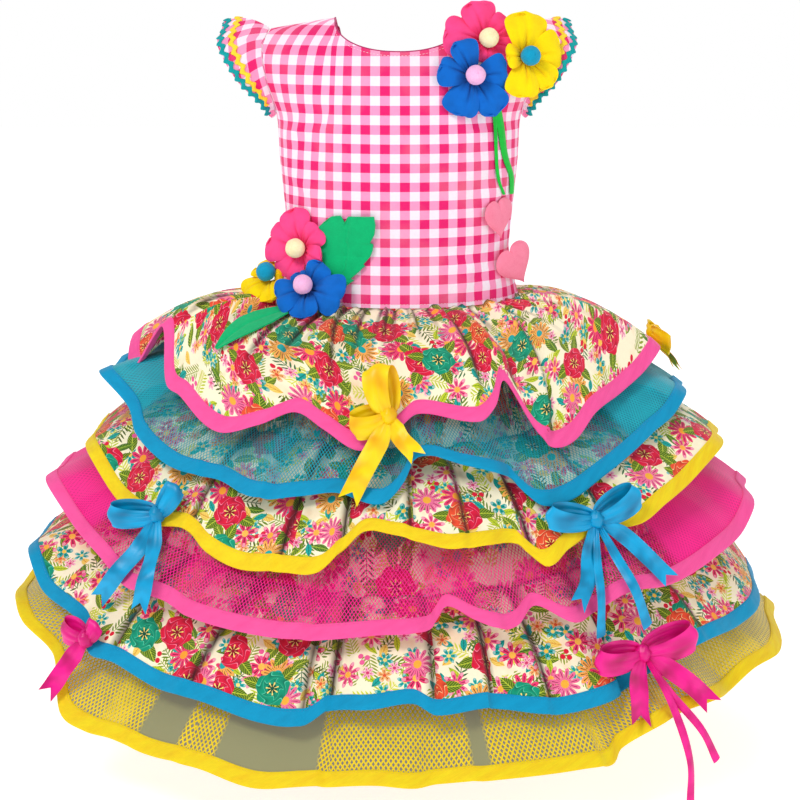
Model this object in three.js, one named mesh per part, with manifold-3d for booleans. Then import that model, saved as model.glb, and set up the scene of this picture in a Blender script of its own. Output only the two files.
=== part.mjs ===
// Child's festa junina dress, filled out as it is worn, with nobody in it.
// Millimetres. +Z is up, the front faces -Y and the wearer's left is towards +X.
// The origin lies level with the shoulder seams, on the body's centre line.
// Angles round the body are degrees from the centre front, growing towards +X.

import * as THREE from "three";
import { mergeVertices } from "three/addons/utils/BufferGeometryUtils.js";
import Module from "manifold-3d";

const COTTON = 1.4;
const NET = 1.2;
const BINDING = 2;
const FELT = 2;
const RIBBON = 1.2;
const SEAM_GAP = 0.9; // between the middles of two panels' edges
const LIE_GAP = 0.4; // below a piece that lies on another
const TIER_GAP = 0.55; // between the underskirt and a ruffle sewn to it
const BRAID_GAP = 0.6; // below the braids, which cross the sleeve's flutes
const STEM_GAP = 0.9;
const LARGE_LEAF_GAP = 1.2;
const LOW_LEAF_GAP = 1.4;
const BINDING_WIDTH = 11.5;
const BINDING_GAP = 0.9; // between the middles of a ruffle's edge and its binding

const WAIST_LEVEL = -226;
const NECK_HALF = 52;
const NECK_LEVEL = 3;
const NECK_FRONT_DEPTH = 25;
const NECK_BACK_DEPTH = 42;
const SHOULDER_SLOPE = 9 / 53;
const SHOULDER_ROUND = 95; // height over which the chest rounds into the shoulder seam
const SHOULDER_TIP = -6;
const SLEEVE_END = -76; // level where the sleeve meets the armhole at either end
const RIGHT_SPREAD = 1; // how wide each sleeve stands, as a share of the table
const LEFT_SPREAD = 0.92;

const COLOURS = {
  gingham: 0xff7db4,
  floral: 0xf6c9a8,
  netTurquoise: 0x0a93ab,
  netPink: 0xf0308a,
  netYellow: 0xf0d838,
  pink: 0xff5fa8,
  blue: 0x009fdf,
  yellow: 0xffe030,
  teal: 0x0fa5a5,
  petalPink: 0xff4a86,
  petalBlue: 0x0f62c0,
  petalYellow: 0xffe600,
  ballCream: 0xfff0c0,
  ballPink: 0xf7b6e0,
  ballTeal: 0x0c9fc0,
  leaf: 0x00b878,
  stem: 0x10c83c,
  heart: 0xff8ca8,
  satinYellow: 0xffe600,
  satinBlue: 0x00a8dc,
  satinPink: 0xf01c8e,
};

// Ovals of the bodice: level, half-width, half-depth at the front, half-depth at the back.
const BODICE_OVALS = [
  [-226, 100, 78, 70],
  [-205, 94.5, 74, 65],
  [-185, 91.5, 71, 61],
  [-157, 94, 74, 62],
  [-110, 98.5, 78, 66],
  [-83, 99.6, 77, 66],
  [3, 104, 76, 66],
];

// Armhole edge: level, distance from the centre line, angle of the oval reached there.
const ARMHOLE = [
  [-83, 99.6, 90],
  [-67, 101, 75],
  [-46, 107, 65],
  [-30, 110, 61],
  [-17, 110.5, 61],
  [-6, 105, 60],
  [3, 105, 60],
];

// Cap sleeve: place along the armhole from its front end, then how far its outer edge
// stands off the armhole outwards, forwards and upwards.
const SLEEVE = [
  [0, 3, 1, -2],
  [0.1, 10, 5, -3],
  [0.2, 21, 9, -4],
  [0.3, 32, 9, -5],
  [0.4, 39, 6, -2],
  [0.5, 36, 0, 6],
];

// Underskirt: half-depth and level at the front, half-width and level at the sides,
// half-depth at the back. The ruffles are sewn on at these rows and midway between them.
const UNDERSKIRT = [
  [78, -229, 100, -229, 70],
  [112, -276, 148, -264, 106],
  [168, -378, 212, -346, 156],
  [214, -490, 252, -456, 198],
];

// Widest steps between the columns of the skirt's rings, at the front and at the back.
const FRONT_STEP = 6;
const BACK_STEP = 8.5;

// Waves of the hidden back of a ruffle: they alternate out and in.
const BACK_WAVES = 12;
const BACK_WAVE = 6;
const BACK_START = 98; // angle of the first of them, and the rest after the last
const BACK_REST = 8;
const SIDE_DRAW = 8; // how far the sides are drawn in from the hem's oval

// One entry for each ruffle. Rows of waves: angle, how far the hem stands out of its
// oval there, and how far it hangs below it.
const RUFFLES = [
  {
    name: "ruffle_1_floral",
    cloth: "floral",
    edge: "pink",
    seamRow: 0,
    hem: { left: 226, right: 222, front: 180, back: 172, zLeft: -268, zRight: -276, zFront: -302 },
    belly: 15,
    sideLift: 4,
    bands: 4,
    waves: [
      [-84, -4, 4], [-73, 9, 0], [-64, -12, -33], [-56, 0, 4], [-50, 2, 8], [-37, 10, 22],
      [-28, 5, 9], [-22, -8, -3], [-15, 0, 5], [-7, 10, 17], [-1, 3, 4], [4, -7, -9],
      [16, 4, -2], [20, -2, -11], [24, -16, -26], [28, 4, 14], [31, 12, 26], [37, 8, 26],
      [45, 0, 12], [57, -6, 7], [66, -2, -2], [74, 2, -13], [86, -8, -6],
    ],
  },
  {
    name: "ruffle_2_net",
    cloth: "netTurquoise",
    edge: "blue",
    seamRow: 1,
    hem: { left: 250, right: 246, front: 200, back: 192, zLeft: -303, zRight: -318, zFront: -350 },
    belly: 6,
    sideLift: 15,
    bands: 2,
    waves: [
      [-84, -6, -14], [-71, 8, -25], [-65, -6, -6], [-58, 0, 7], [-48, 2, 16], [-42, 2, 16],
      [-35, -4, 14], [-25, 10, 14], [-17, 2, 7], [-11, -2, 2], [-3, 8, 6], [1, -4, -8],
      [4, -12, -27], [12, -2, -20], [18, 0, -11], [22, -10, 0], [25, 10, 16], [31, 8, 20],
      [41, 2, 10], [57, -2, -5], [64, 2, -12], [70, 4, -22], [85, -9, -16],
    ],
  },
  {
    name: "ruffle_3_floral",
    cloth: "floral",
    edge: "yellow",
    seamRow: 1.5,
    hem: { left: 268, right: 278, front: 222, back: 212, zLeft: -362, zRight: -362, zFront: -386 },
    belly: 8,
    sideLift: 18,
    bands: 3,
    waves: [
      [-84, -8, -18], [-67, 6, -20], [-60, 0, 3], [-53, 2, 9], [-47, 0, 14], [-40, -6, 11],
      [-34, 0, 22], [-27, 4, 28], [-19, 6, 24], [-13, 8, 21], [-10, -4, 8], [-6, -10, -9],
      [-1, -6, -8], [3, 2, -5], [8, 6, 1], [14, 2, 1], [20, -8, 7], [23, 10, 21],
      [28, 2, 13], [35, -6, 7], [42, 4, 7], [49, 2, -1], [57, 0, -8], [63, 2, -17],
      [70, 4, -24], [85, -8, -18],
    ],
  },
  {
    name: "ruffle_4_net",
    cloth: "netPink",
    edge: "pink",
    seamRow: 2,
    hem: { left: 300, right: 304, front: 245, back: 232, zLeft: -402, zRight: -414, zFront: -440 },
    belly: 6,
    sideLift: 25,
    bands: 2,
    waves: [
      [-84, -8, -28], [-68, 8, -37], [-63, 0, -17], [-52, 2, -4], [-46, 2, 10], [-41, 8, 7],
      [-38, -4, 13], [-33, 2, 16], [-24, 4, 17], [-14, 6, 15], [-3, 2, 8], [2, 4, 6],
      [5, -8, 5], [7, -12, -10], [11, 0, -1], [14, 8, 5], [17, 4, 5], [21, -10, -4],
      [25, 8, 8], [30, -6, 10], [35, 4, -4], [43, 2, 1], [49, 0, 1], [58, 2, -6],
      [67, 2, -11], [72, 4, -24], [85, -9, -24],
    ],
  },
  {
    name: "ruffle_5_floral",
    cloth: "floral",
    edge: "blue",
    seamRow: 2.5,
    hem: { left: 317, right: 311, front: 264, back: 248, zLeft: -466, zRight: -500, zFront: -502 },
    belly: 8,
    sideLift: 30,
    bands: 2,
    waves: [
      [-84, -8, -32], [-70, 6, -40], [-65, 4, -21], [-54, -2, -12], [-49, 6, 4], [-44, 4, 3],
      [-36, 2, 11], [-28, 4, 10], [-19, 6, 16], [-13, 6, 14], [-10, -4, 4], [-4, 4, -2],
      [2, -2, -5], [5, 4, 2], [13, -2, 1], [22, 6, 8], [30, 6, 5], [34, -5, 4],
      [39, 0, -10], [45, 2, -19], [52, 4, -24], [61, 2, -22], [68, 6, -27], [84, -6, -30],
    ],
  },
  {
    name: "ruffle_6_net",
    cloth: "netYellow",
    edge: "yellow",
    seamRow: 3,
    hem: { left: 330, right: 333, front: 285, back: 264, zLeft: -515, zRight: -545, zFront: -552 },
    belly: 3,
    sideLift: 42,
    bands: 2,
    waves: [
      [-84, -8, -44], [-71, 4, -52], [-65, 6, -44], [-61, -6, -30], [-57, -2, -24],
      [-52, 10, 4], [-47, 8, 9], [-42, 4, 7], [-36, 2, 9], [-27, 6, 5], [-19, 8, 10],
      [-13, 0, 7], [-9, -2, 5], [-3, 6, -1], [2, 4, 2], [5, -4, 2], [13, 4, -2],
      [24, 6, -3], [29, 4, -2], [32, -8, -8], [37, 4, -25], [42, -4, -26], [47, 6, -32],
      [54, -6, -27], [60, -2, -37], [68, 4, -39], [84, -10, -42],
    ],
  },
];

// Fabric flowers. Each faces outwards at an angle round the body and a tilt upwards.
// Rows of petals: direction seen from outside, from the right and turning up, then length.
const FLOWERS = [
  {
    name: "shoulder_flower_pink", petal: "petalPink", ball: "ballCream",
    centre: [70, -43, -14], at: 15, tilt: 20,
    petals: [[-93, 19], [-20, 24], [30, 27], [108, 34], [166, 38]],
  },
  {
    name: "shoulder_flower_blue", petal: "petalBlue", ball: "ballPink",
    centre: [59.3, -61.6, -41.2], at: 12, tilt: 12,
    petals: [[-108, 36], [-62, 36], [5, 30], [118, 31], [160, 31]],
  },
  {
    name: "shoulder_flower_yellow", petal: "petalYellow", ball: "ballTeal",
    centre: [102, -47.3, -26.8], at: 24, tilt: 12,
    petals: [[-97, 35], [-50, 32], [8, 34], [88, 37], [176, 19]],
  },
  {
    name: "waist_flower_pink", petal: "petalPink", ball: "ballCream",
    centre: [-79.2, -50.2, -181], at: -34, tilt: 8,
    petals: [[-115, 30], [-22, 23], [46, 26], [105, 34], [167, 35]],
  },
  {
    name: "waist_flower_blue", petal: "petalBlue", ball: "ballPink",
    centre: [-74.2, -69.6, -210.6], at: -24, tilt: 27,
    petals: [[-154, 29], [-80, 27], [-15, 36], [67, 24], [125, 16]],
  },
  {
    name: "waist_flower_yellow", petal: "petalYellow", ball: "ballTeal",
    centre: [-104.9, -38.4, -206.4], at: -35, tilt: 36,
    petals: [[-132, 22], [-85, 20], [15, 12], [85, 12], [160, 19]],
  },
];
const BALL_RADIUS = 8;
const BALL_GAP = 0.3;
const PETAL_CUP = 6; // depth of the bowl that the petals make
const PETAL_NOTCH = 0.55; // reach of the notch between petals, as a share of the shorter one

// Large felt leaf on the bodice: distance along its midrib, then its half-widths to left and right.
const LARGE_LEAF = {
  base: [-51, -208],
  tip: [-29, -148],
  rows: [[0, 2, 2], [14, 12, 11], [26, 20, 14], [37, 25, 16], [49, 17, 16], [58, 9, 14], [65, 0, 9]],
};

// Low felt leaf on the top ruffle: way down the ruffle, then the angles of its two edges.
const LOW_LEAF = [[0.2, -57, -50], [0.31, -59.5, -51], [0.43, -60.5, -52.5], [0.56, -58.5, -54], [0.72, -56.5, -55.5]];

// Ribbon stems on the bodice: width, then the places they run through, across and level.
const STEMS = [
  { name: "stem_inner", width: 4, places: [[74, -72], [76, -95], [79, -118], [83, -132]] },
  { name: "stem_outer", width: 7, places: [[81, -70], [84.5, -90], [87, -115], [89.5, -133]] },
];

const HEARTS = [
  { name: "heart_upper", centre: [82, -42.6, -156], at: 50, tilt: 0, turn: 8, width: 34, height: 36 },
  { name: "heart_lower", centre: [96.2, -30.1, -196], at: 38, tilt: 4, turn: 28, width: 36, height: 38 },
];

// Ribbon bows, in millimetres to the right of, above and out from the middle of the knot.
// Loops: tip, ribbon width, opening. Tails: ribbon width, then the places they run through.
const BOWS = [
  {
    name: "bow_yellow_front", satin: "satinYellow", knot: [-8, -184, -291.2], at: -3,
    loops: [[-9, 37, -6, 22, 14], [-28, -8, 7, 20, 9]],
    tails: [
      [16, [-6, -17, 10], [-18, -39, 20], [-30, -63, 25]],
      [14, [9, -15, 8], [19, -25, 12], [24, -31, 15]],
    ],
  },
  {
    name: "bow_blue_right", satin: "satinBlue", knot: [-190, -156, -377], at: -25,
    loops: [[-39, -2, 9, 18, 9], [16, 23, -3, 17, 9]],
    tails: [
      [14, [-10, -25, 12], [-21, -43, 27], [-41, -69, 28]],
      [14, [6, -23, 18], [10, -43, 37], [6, -68, 42]],
    ],
  },
  {
    name: "bow_blue_left", satin: "satinBlue", knot: [153, -180, -375], at: 20,
    loops: [[-43, 8, 6, 18, 9], [35, 19, 2, 20, 11]],
    tails: [
      [15, [-9, -24, 11], [-18, -43, 25], [-31, -57, 37]],
      [7, [-5, -30, 16], [-9, -57, 32], [-9, -86, 33]],
      [13, [21, -13, 8], [38, -30, 16], [54, -48, 27]],
      [8, [10, -25, 15], [17, -48, 37], [30, -81, 36]],
    ],
  },
  {
    name: "bow_pink_left", satin: "satinPink", knot: [189, -206, -475], at: 22,
    loops: [[-44, 1, 10, 20, 10], [43, 12, 5, 22, 12]],
    tails: [
      [16, [-8, -16, 10], [-12, -33, 19], [-15, -48, 29]],
      [15, [22, -15, 13], [37, -28, 21], [47, -40, 31]],
      [6, [14, -27, 17], [36, -57, 31], [52, -86, 30]],
      [6, [13, -35, 25], [25, -80, 34], [29, -119, 30]],
    ],
  },
  {
    name: "bow_pink_right", satin: "satinPink", knot: [-246, -176, -473], at: -30,
    loops: [[-27, 4, -4, 18, 8], [10, 13, 0, 15, 8]],
    tails: [[15, [-12, -18, 7], [-21, -33, 11], [-29, -47, 19]]],
  },
  {
    name: "bow_yellow_side", satin: "satinYellow", knot: [217.2, 21, -263.6], at: 97,
    loops: [[-27, -6, 8, 18, 9], [27, -4, 6, 18, 9]],
    tails: [[13, [-9, -14, 10], [-14, -30, 22]], [13, [9, -14, 10], [15, -30, 22]]],
  },
];
const KNOT = [5.5, 6.5, 4.5]; // half sizes to the right, up and out

const wasm = await Module();
wasm.setup();

const dress = new THREE.Group();
const radians = THREE.MathUtils.degToRad;
const mix = THREE.MathUtils.lerp;

function addPiece(name, geometry, colour, roughness = 0.85) {
  const material = new THREE.MeshStandardMaterial({ color: COLOURS[colour], roughness, metalness: 0 });
  const mesh = new THREE.Mesh(geometry, material);
  mesh.name = name;
  dress.add(mesh);
}

// Value of one column of a table at a place in its first column, on straight lines.
function between(rows, place, column) {
  const last = rows.length - 1;
  let i = 0;
  while (i < last - 1 && rows[i + 1][0] < place) i += 1;
  const [low, high] = [rows[i], rows[i + 1]];
  const t = THREE.MathUtils.clamp((place - low[0]) / (high[0] - low[0]), 0, 1);
  return mix(low[column], high[column], t);
}

// The same on a smooth closed curve, for a table whose first column goes round in degrees.
function around(rows, place, column) {
  const n = rows.length;
  const row = (k) => {
    const turn = Math.floor(k / n);
    const found = rows[k - turn * n];
    return [found[0] + 360 * turn, found[column]];
  };
  let i = -1;
  while (row(i + 1)[0] <= place) i += 1;
  const [a, b, c, d] = [row(i - 1), row(i), row(i + 1), row(i + 2)];
  const t = (place - b[0]) / (c[0] - b[0]);
  const startSlope = ((c[1] - a[1]) / (c[0] - a[0])) * (c[0] - b[0]);
  const endSlope = ((d[1] - b[1]) / (d[0] - b[0])) * (c[0] - b[0]);
  const [t2, t3] = [t * t, t * t * t];
  return (2 * t3 - 3 * t2 + 1) * b[1] + (t3 - 2 * t2 + t) * startSlope
    + (3 * t2 - 2 * t3) * c[1] + (t3 - t2) * endSlope;
}

// Closed wall of even thickness about a grid of points on its middle surface.
// A ring's last column joins its first one.
function wall(grid, thickness, ring = false) {
  const rows = grid.length;
  const columns = grid[0].length;
  const positions = [];
  const faces = [];
  const column = (j) => (ring ? (j + columns) % columns : THREE.MathUtils.clamp(j, 0, columns - 1));
  const line = (i) => THREE.MathUtils.clamp(i, 0, rows - 1);
  for (const side of [0.5, -0.5]) {
    for (let i = 0; i < rows; i += 1) {
      for (let j = 0; j < columns; j += 1) {
        const across = grid[i][column(j + 1)].clone().sub(grid[i][column(j - 1)]);
        const along = grid[line(i + 1)][j].clone().sub(grid[line(i - 1)][j]);
        const normal = across.cross(along).normalize();
        positions.push(...normal.multiplyScalar(side * thickness).add(grid[i][j]).toArray());
      }
    }
  }
  const front = (i, j) => i * columns + column(j);
  const back = (i, j) => rows * columns + front(i, j);
  const quad = (a, b, c, d) => faces.push(a, b, c, a, c, d);
  const spans = ring ? columns : columns - 1;
  for (let j = 0; j < spans; j += 1) {
    for (let i = 0; i < rows - 1; i += 1) {
      quad(front(i, j), front(i, j + 1), front(i + 1, j + 1), front(i + 1, j));
      quad(back(i, j), back(i + 1, j), back(i + 1, j + 1), back(i, j + 1));
    }
    quad(back(0, j), back(0, j + 1), front(0, j + 1), front(0, j));
    quad(front(rows - 1, j), front(rows - 1, j + 1), back(rows - 1, j + 1), back(rows - 1, j));
  }
  for (let i = 0; i < rows - 1 && !ring; i += 1) {
    quad(back(i, 0), front(i, 0), front(i + 1, 0), back(i + 1, 0));
    quad(front(i, columns - 1), back(i, columns - 1), back(i + 1, columns - 1), front(i + 1, columns - 1));
  }
  const geometry = new THREE.BufferGeometry();
  geometry.setAttribute("position", new THREE.Float32BufferAttribute(positions, 3));
  geometry.setIndex(faces);
  return geometry;
}

function gridOf(surface, lines, columns) {
  return lines.map((v) => columns.map((u) => surface(u, v)));
}

// Point a distance out of a surface, measured square to it.
function raised(surface, u, v, distance, du = 0.01, dv = 0.01) {
  const across = surface(u + du, v).sub(surface(u - du, v));
  const along = surface(u, v + dv).sub(surface(u, v - dv));
  return along.cross(across).normalize().multiplyScalar(distance).add(surface(u, v));
}

function steps(from, to, count) {
  return Array.from({ length: count + 1 }, (_, i) => mix(from, to, i / count));
}

// Bodice

const FRONT = { sign: -1, depthColumn: 2, neck: NECK_FRONT_DEPTH };
const BACK = { sign: 1, depthColumn: 3, neck: NECK_BACK_DEPTH };

function shoulderLevel(x) {
  return NECK_LEVEL - Math.max(Math.abs(x) - NECK_HALF, 0) * SHOULDER_SLOPE;
}

function topLevel(panel, x) {
  const part = Math.min(Math.abs(x) / NECK_HALF, 1);
  return shoulderLevel(x) - panel.neck * (1 - part ** 2.2) ** (1 / 2.2);
}

// Point of the bodice at a share of the way to the armhole or side seam, -1 to 1, and a level.
function bodicePoint(panel, share, level) {
  const reach = radians(level < ARMHOLE[0][0] ? 90 : between(ARMHOLE, level, 2));
  const underArm = level < ARMHOLE[0][0];
  const halfWidth = underArm ? between(BODICE_OVALS, level, 1) : between(ARMHOLE, level, 1) / Math.sin(reach);
  const x = halfWidth * Math.sin(share * reach);
  const below = THREE.MathUtils.clamp((shoulderLevel(x) - level) / SHOULDER_ROUND, 0, 1);
  const rounding = (1 - (1 - below) ** 2.2) ** (1 / 2.2);
  const depth = between(BODICE_OVALS, level, panel.depthColumn) * Math.cos(share * reach) * rounding;
  return new THREE.Vector3(x, panel.sign * (SEAM_GAP / 2 + depth), level);
}

// The same with the height as a share, 0 at the neckline or shoulder seam and 1 at the waist.
function bodiceSurface(panel) {
  return (share, down) => {
    let top = NECK_LEVEL;
    for (let i = 0; i < 4; i += 1) top = topLevel(panel, bodicePoint(panel, share, top).x);
    return bodicePoint(panel, share, mix(top, WAIST_LEVEL, down));
  };
}

const BODICE_LINES = [0, 0.01, 0.04, 0.1, 0.2, 0.32, 0.46, 0.62, 0.8, 1];
const NECK_SHARE = 0.43;
const HALF_SHARES = [0, 0.1, 0.2, 0.3, 0.37, NECK_SHARE, 0.57, 0.72, 0.86, 1];

function buildBodice() {
  const leftShares = HALF_SHARES.slice(1).reverse().map((share) => -share);
  const frontGrid = gridOf(bodiceSurface(FRONT), BODICE_LINES, [...leftShares, ...HALF_SHARES]);
  addPiece("bodice_front", wall(frontGrid, COTTON), "gingham");
  for (const [name, side] of [["bodice_back_left", 1], ["bodice_back_right", -1]]) {
    const grid = gridOf(bodiceSurface(BACK), BODICE_LINES, HALF_SHARES.map((share) => side * share));
    grid.forEach((line) => line[0].setX((side * SEAM_GAP) / 2));
    addPiece(name, wall(grid, COTTON), "gingham");
  }
}

// Cap sleeves with two rows of rick-rack

const FLUTES = 4;
const FLUTE_HEIGHT = 2.5;
const PUFF_HEIGHT = 5;

function sleeveSurface(side, spread) {
  return (place, across) => {
    const half = THREE.MathUtils.clamp(Math.min(place, 1 - place), 0, 0.5);
    const panel = place < 0.5 ? FRONT : BACK;
    const level = mix(SLEEVE_END, SHOULDER_TIP, Math.sin(Math.PI * half) ** 1.3);
    const edge = bodicePoint(panel, 1, level);
    const flute = FLUTE_HEIGHT * Math.sin(radians(360 * FLUTES * place)) * across * Math.sin(Math.PI * half);
    const puff = PUFF_HEIGHT * 4 * across * (1 - across) * Math.sin(Math.PI * half);
    const x = edge.x + COTTON + LIE_GAP + across * between(SLEEVE, half, 1) * spread;
    const y = half > 0.499 ? 0 : edge.y + panel.sign * across * between(SLEEVE, half, 2);
    const z = level + across * between(SLEEVE, half, 3) + flute + puff;
    return new THREE.Vector3(side * x, y, z);
  };
}

const BRAIDS = [
  { name: "edge", colour: "teal", from: 0.86, to: 1.02 },
  { name: "inner", colour: "yellow", from: 0.6, to: 0.76 },
];

function buildSleeve(name, side, spread) {
  const surface = sleeveSurface(side, spread);
  addPiece(name, wall(gridOf(surface, steps(0, 1, 3), steps(0, 1, 18)), COTTON), "gingham");
  const lift = side * (COTTON / 2 + BRAID_GAP + FELT / 2);
  for (const braid of BRAIDS) {
    const above = (place, across) => raised(surface, place, across, lift, 0.002, 0.01);
    const grid = gridOf(above, steps(braid.from, braid.to, 1), steps(0.09, 0.91, 16));
    addPiece(name + "_braid_" + braid.name, wall(grid, FELT), braid.colour);
  }
}

// Skirt: an underskirt that carries six ruffles, each with a bound hem

// Angles of a ring's columns: one at each stated wave, and even steps between them.
function columnAngles(stated) {
  const places = [...stated, stated[0] + 360];
  const angles = [];
  for (let i = 0; i < stated.length; i += 1) {
    const gap = places[i + 1] - places[i];
    const step = places[i] < 86 ? FRONT_STEP : BACK_STEP;
    angles.push(...steps(places[i], places[i + 1], Math.ceil(gap / step - 0.01)).slice(0, -1));
  }
  return angles;
}

function underskirtPoint(row, at, outwards = 0) {
  const low = Math.min(Math.floor(row), UNDERSKIRT.length - 2);
  const [depth, zFront, width, zSide, backDepth] = UNDERSKIRT[low]
    .map((value, column) => mix(value, UNDERSKIRT[low + 1][column], row - low));
  const sine = Math.sin(radians(at));
  const cosine = Math.cos(radians(at));
  const x = (width + outwards) * sine;
  const y = -((cosine > 0 ? depth : backDepth) + outwards) * cosine;
  return new THREE.Vector3(x, y, zFront * cosine ** 2 + zSide * sine ** 2);
}

// Wave rows of the whole hem: the ones seen, then the even waves of the back.
function hemWaves(ruffle) {
  const rows = [...ruffle.waves];
    for (let i = 0; i < BACK_WAVES; i += 1) {
    const at = mix(BACK_START, 360 + ruffle.waves[0][0] - BACK_REST, i / (BACK_WAVES - 1));
    const sign = i % 2 ? -1 : 1;
    const sideways = Math.sin(radians(at)) ** 2;
    rows.push([at, sign * BACK_WAVE - SIDE_DRAW * sideways, sign * BACK_WAVE - ruffle.sideLift * sideways]);
  }
  return rows;
}

function hemPoint(ruffle, rows, at) {
  const place = at > 180 + rows[0][0] + 180 ? at - 360 : at;
  const { left, right, front, back, zLeft, zRight, zFront } = ruffle.hem;
  const sine = Math.sin(radians(at));
  const cosine = Math.cos(radians(at));
  const x = (sine > 0 ? right : left) * sine;
  const y = -(cosine > 0 ? front : back) * cosine;
  const spread = 1 + around(rows, place, 1) / Math.hypot(x, y);
  const level = zFront * cosine ** 2 + (sine > 0 ? zRight : zLeft) * sine ** 2;
  return new THREE.Vector3(x * spread, y * spread, level - around(rows, place, 2));
}

// Surface of a ruffle: angle, then the way down from its seam at 0 to the end of its hem at 1.
function ruffleSurface(ruffle) {
  const rows = hemWaves(ruffle);
  const clearance = ruffle.seamRow === 0 ? 0 : COTTON + TIER_GAP;
  return (at, down) => {
    const seam = underskirtPoint(ruffle.seamRow, at, clearance);
    if (ruffle.seamRow === 0) seam.z += COTTON + LIE_GAP;
    const fall = hemPoint(ruffle, rows, at).sub(seam);
    const run = Math.hypot(fall.x, fall.y);
    const belly = (ruffle.belly * 4 * down * (1 - down)) / fall.length();
    const rise = new THREE.Vector3((-fall.z * fall.x) / run, (-fall.z * fall.y) / run, run);
    return seam.addScaledVector(fall, down).addScaledVector(rise, belly);
  };
}

function buildUnderskirt() {
  const rows = UNDERSKIRT.map((_, row) => row);
  const grid = gridOf((at, row) => underskirtPoint(row, at), rows, columnAngles([-90, 90]));
  addPiece("underskirt", wall(grid, COTTON, true), "floral");
}

function buildRuffle(ruffle) {
  const surface = ruffleSurface(ruffle);
  const thickness = ruffle.cloth === "floral" ? COTTON : NET;
  const measured = (at, span) => {
    const length = surface(at, 0).distanceTo(surface(at, 1));
    const clothEnd = 1 - BINDING_WIDTH / length;
    return span <= 1 ? surface(at, span * clothEnd) : surface(at, mix(clothEnd + BINDING_GAP / length, 1, span - 1));
  };
  const angles = columnAngles(ruffle.waves.map((row) => row[0]));
  const cloth = gridOf(measured, steps(0, 1, ruffle.bands), angles);
  addPiece(ruffle.name, wall(cloth, thickness, true), ruffle.cloth);
  const binding = gridOf(measured, [1.001, 2], angles);
  addPiece(ruffle.name + "_binding", wall(binding, BINDING, true), ruffle.edge);
}

// Directions of a piece that faces outwards at an angle round the body and a tilt upwards.
function facing(at, tilt = 0) {
  const [turn, lean] = [radians(at), radians(tilt)];
  const out = new THREE.Vector3(
    Math.sin(turn) * Math.cos(lean), -Math.cos(turn) * Math.cos(lean), Math.sin(lean));
  const right = new THREE.Vector3(Math.cos(turn), Math.sin(turn), 0);
  return { right, up: out.clone().cross(right), out };
}

function placeIn(frame, centre, [right, up, out]) {
  return new THREE.Vector3(...centre)
    .addScaledVector(frame.right, right).addScaledVector(frame.up, up).addScaledVector(frame.out, out);
}

// Felt flowers, each with a ball at its middle

// Length of the flower in a direction: full at a petal's middle, half at the notch beside it.
function petalReach(petals, at) {
  const last = petals.length;
  const row = (k) => [petals[(k + last) % last][0] + 360 * Math.floor(k / last), petals[(k + last) % last][1]];
  let i = -1;
  while (row(i + 1)[0] <= at) i += 1;
  const [low, high] = [row(i), row(i + 1)];
  const part = (at - low[0]) / (high[0] - low[0]);
  const notch = PETAL_NOTCH * Math.min(low[1], high[1]);
  const near = part < 0.5 ? low[1] : high[1];
  return notch + (near - notch) * (1 - (2 * Math.min(part, 1 - part)) ** 2.4);
}

function buildFlower(flower) {
  const frame = facing(flower.at, flower.tilt);
  const point = (at, share) => {
    const reach = mix(3, petalReach(flower.petals, at), share);
    const cup = PETAL_CUP * share * (1 - 0.7 * share ** 2);
    return placeIn(frame, flower.centre, [reach * Math.cos(radians(at)), reach * Math.sin(radians(at)), cup]);
  };
  const angles = [];
  flower.petals.forEach(([at], i) => {
    const next = i + 1 < flower.petals.length ? flower.petals[i + 1][0] : flower.petals[0][0] + 360;
    angles.push(...steps(at, next, 3).slice(0, -1));
  });
  const turned = (at, share) => point(at > 180 ? at - 360 : at, share);
  addPiece(flower.name, wall(gridOf(turned, [0, 0.55, 1], angles), FELT, true), flower.petal);
  const ball = new THREE.IcosahedronGeometry(BALL_RADIUS, 1);
  const middle = placeIn(frame, flower.centre, [0, 0, BALL_RADIUS + FELT / 2 + BALL_GAP]);
  addPiece(flower.name + "_ball", ball.translate(...middle.toArray()), flower.ball);
}

// Felt leaves, ribbon stems and felt hearts

// Point of the bodice's front at a place across and a level.
function frontAcross(x, level) {
  const edge = bodicePoint(FRONT, 1, level).x;
  const reach = radians(level < ARMHOLE[0][0] ? 90 : between(ARMHOLE, level, 2));
  const share = Math.asin(THREE.MathUtils.clamp((x / edge) * Math.sin(reach), -1, 1)) / reach;
  return bodicePoint(FRONT, share, level);
}

function buildLargeLeaf() {
  const base = new THREE.Vector2(...LARGE_LEAF.base);
  const rib = new THREE.Vector2(...LARGE_LEAF.tip).sub(base).normalize();
  const height = COTTON / 2 + FELT / 2 + LARGE_LEAF_GAP;
  const grid = LARGE_LEAF.rows.map(([along, left, right]) => steps(-left, right, 3).map((offset) => {
    const x = base.x + along * rib.x + offset * rib.y;
    const level = base.y + along * rib.y - offset * rib.x;
    return raised(frontAcross, x, level, -height, 0.5, 0.5);
  }));
  addPiece("leaf_large", wall(grid, FELT), "leaf");
}

function buildLowLeaf() {
  const surface = ruffleSurface(RUFFLES[0]);
  const height = COTTON / 2 + FELT / 2 + LOW_LEAF_GAP;
  const grid = LOW_LEAF.map(([down, from, to]) => steps(from, to, 2)
    .map((at) => raised(surface, at, down, height, 0.5, 0.02)));
  addPiece("leaf_low", wall(grid, FELT), "leaf");
}

function buildStem({ name, width, places }) {
  const height = COTTON / 2 + RIBBON / 2 + STEM_GAP;
  const grid = places.map(([x, level]) => [-width / 2, width / 2]
    .map((offset) => raised(frontAcross, x + offset, level, -height, 0.5, 0.5)));
  addPiece(name, wall(grid, RIBBON), "stem");
}

function solidGeometry(geometry) {
  geometry.deleteAttribute("normal");
  geometry.deleteAttribute("uv");
  return mergeVertices(geometry, 1e-4);
}

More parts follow.
